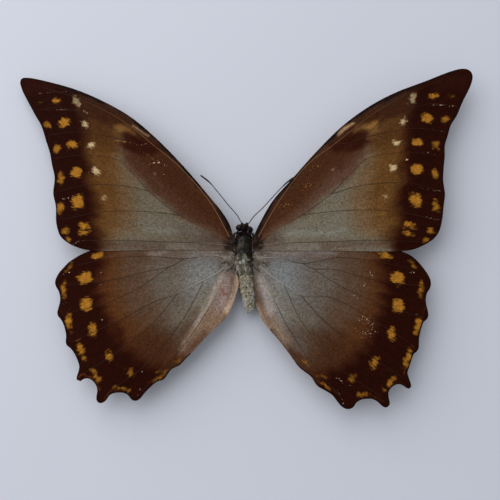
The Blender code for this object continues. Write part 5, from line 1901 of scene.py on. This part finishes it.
@dataclass
class Setting:
    """The pale sheet, the soft light and the camera."""

    floor_size: float = 3.0
    floor_colour: Colour = (0.64, 0.672, 0.755)
    floor_roughness: float = 0.85
    fibre_scale: float = 900.0
    fibre_shade: float = 0.985
    window_place: Place = (-0.38, 0.27, 0.42)
    window_size: float = 1.1
    window_power: float = 5.1
    window_colour: Colour = (1.0, 0.985, 0.98)
    sky_colour: Colour = (0.95, 0.97, 1.0)
    sky_strength: float = 0.46
    camera_tilt: float = 14.85
    camera_place: Place = (2.21, -69.31, 270.4)
    camera_lens: float = 57.24

    def floor(self) -> None:
        """Lay the pale floor, which isn't part of the specimen."""
        bpy.ops.object.select_all(action="DESELECT")
        bpy.ops.mesh.primitive_plane_add(size=self.floor_size, location=(0.0, 0.0, 0.0))
        sheet = bpy.context.object
        sheet.name = "floor"
        material = bpy.data.materials.new("pale_floor")
        material.use_nodes = True
        shader = Shader(material.node_tree)
        surface = material.node_tree.nodes["Principled BSDF"]
        place = shader.add("ShaderNodeTexCoord").outputs["Object"]
        fibre = shader.noise(place, self.fibre_scale, 3.0)
        low = tuple(value * self.fibre_shade for value in self.floor_colour)
        shader.feed(surface.inputs["Base Color"], shader.mix(fibre, low, self.floor_colour))
        surface.inputs["Roughness"].default_value = self.floor_roughness
        sheet.data.materials.append(material)

    def window(self) -> None:
        """Hang a square soft light that faces the specimen."""
        data = bpy.data.lights.new("window", "AREA")
        data.size = self.window_size
        data.energy = self.window_power
        data.color = self.window_colour
        lamp = bpy.data.objects.new("window", data)
        lamp.location = self.window_place
        lamp.rotation_euler = (-lamp.location).to_track_quat("-Z", "Y").to_euler()
        bpy.context.scene.collection.objects.link(lamp)

    def camera(self) -> None:
        """Set the camera where the photographer's eye was."""
        data = bpy.data.cameras.new("camera")
        data.sensor_width = 36.0
        data.lens = self.camera_lens
        data.clip_start = 0.01
        made = bpy.data.objects.new("camera", data)
        made.location = tuple(value * MM for value in self.camera_place)
        made.rotation_euler = (math.radians(self.camera_tilt), 0.0, 0.0)
        bpy.context.scene.collection.objects.link(made)
        bpy.context.scene.camera = made

    def world(self) -> None:
        """Light the shadows with a pale sky."""
        world = bpy.data.worlds.new("soft_room")
        world.use_nodes = True
        background = world.node_tree.nodes["Background"]
        background.inputs["Color"].default_value = (*self.sky_colour, 1.0)
        background.inputs["Strength"].default_value = self.sky_strength
        bpy.context.scene.world = world
        bpy.context.scene.view_settings.view_transform = "Standard"

    def build(self) -> None:
        """Make the whole setting."""
        self.floor()
        self.window()
        self.world()
        self.camera()


ANTENNA_READINGS = {
    Side.LEFT: ((-0.55, 9.2, 8.3), (-1, 10.1, 8.4), (-2.2, 12.3, 8.5), (-6, 17, 8.8),
                (-9.5, 21.5, 9), (-11.8, 24.3, 9.1), (-15.1, 27, 9.2)),
    Side.RIGHT: ((1.3, 8.9, 8.3), (1.9, 9.6, 8.4), (3.5, 11.9, 8.6), (6.7, 15.1, 9),
                 (10.8, 19.8, 9.5), (14.4, 23.7, 9.9), (17.4, 26.2, 10.2)),
}

LEG_JOINTS = {
    "foreleg": ((2.5, 4.9, 1.3, 0.3), (3.5, 7, 2.6, 0.34), (1.8, 8.3, 3.3, 0.2)),
    "midleg": ((3.3, 0.8, 2, 0.42), (6.9, 6.2, 0.56, 0.46), (4.6, -2.4, 0.6, 0.28),
               (3, -8.4, 0.25, 0.17)),
    "hindleg": ((3.3, -2.6, 2.4, 0.42), (6.8, -6, 4, 0.46), (1.9, -9.8, 1.1, 0.28),
                (0.4, -15.4, 0.25, 0.17)),
}

# Painted sheen: the scales of one wing are coloured a little darker or warmer than those of another, for the
# iridescence that differs with each wing's angle to the light
WING_SHEEN_TONES = {
    (Side.LEFT, WingKind.FOREWING): (0.88, 0.86, 0.84), (Side.LEFT, WingKind.HINDWING): (1.0, 0.97, 0.93),
    (Side.RIGHT, WingKind.FOREWING): (0.99, 1.0, 1.0), (Side.RIGHT, WingKind.HINDWING): (0.99, 1.0, 1.02),
}


def main() -> None:
    """Build the setting and every piece of the specimen."""
    logging.basicConfig(level=logging.INFO, format="%(name)s: %(message)s")
    Setting().build()
    materials = Materials(
        wing=WING_FINISH.material(), underwing=UNDERWING_FINISH.material(), vein=VEIN_FINISH.material(),
        skin=SKIN_FINISH.material(), hair=HAIR_FINISH.material(), horn=HORN_FINISH.material(),
        eye=EYE_FINISH.material())
    for side in Side:
        Wing(side, WingKind.HINDWING, HINDWING_PATTERN, HINDWING_VEINS, HINDWING_MARGIN[side],
             WING_SHEEN_TONES[side, WingKind.HINDWING]).build(materials)
        Wing(side, WingKind.FOREWING, FOREWING_PATTERN, FOREWING_VEINS, FOREWING_MARGIN[side],
             WING_SHEEN_TONES[side, WingKind.FOREWING]).build(materials)
        Antenna(side, ANTENNA_READINGS[side]).build(materials)
        Tegula(side).build(materials)
        for kind, joints in LEG_JOINTS.items():
            Leg(side, kind, joints).build(materials)
    Thorax().build(materials)
    Abdomen().build(materials)
    Head().build(materials)
    bpy.context.view_layer.update()


if __name__ == "__main__":
    main()
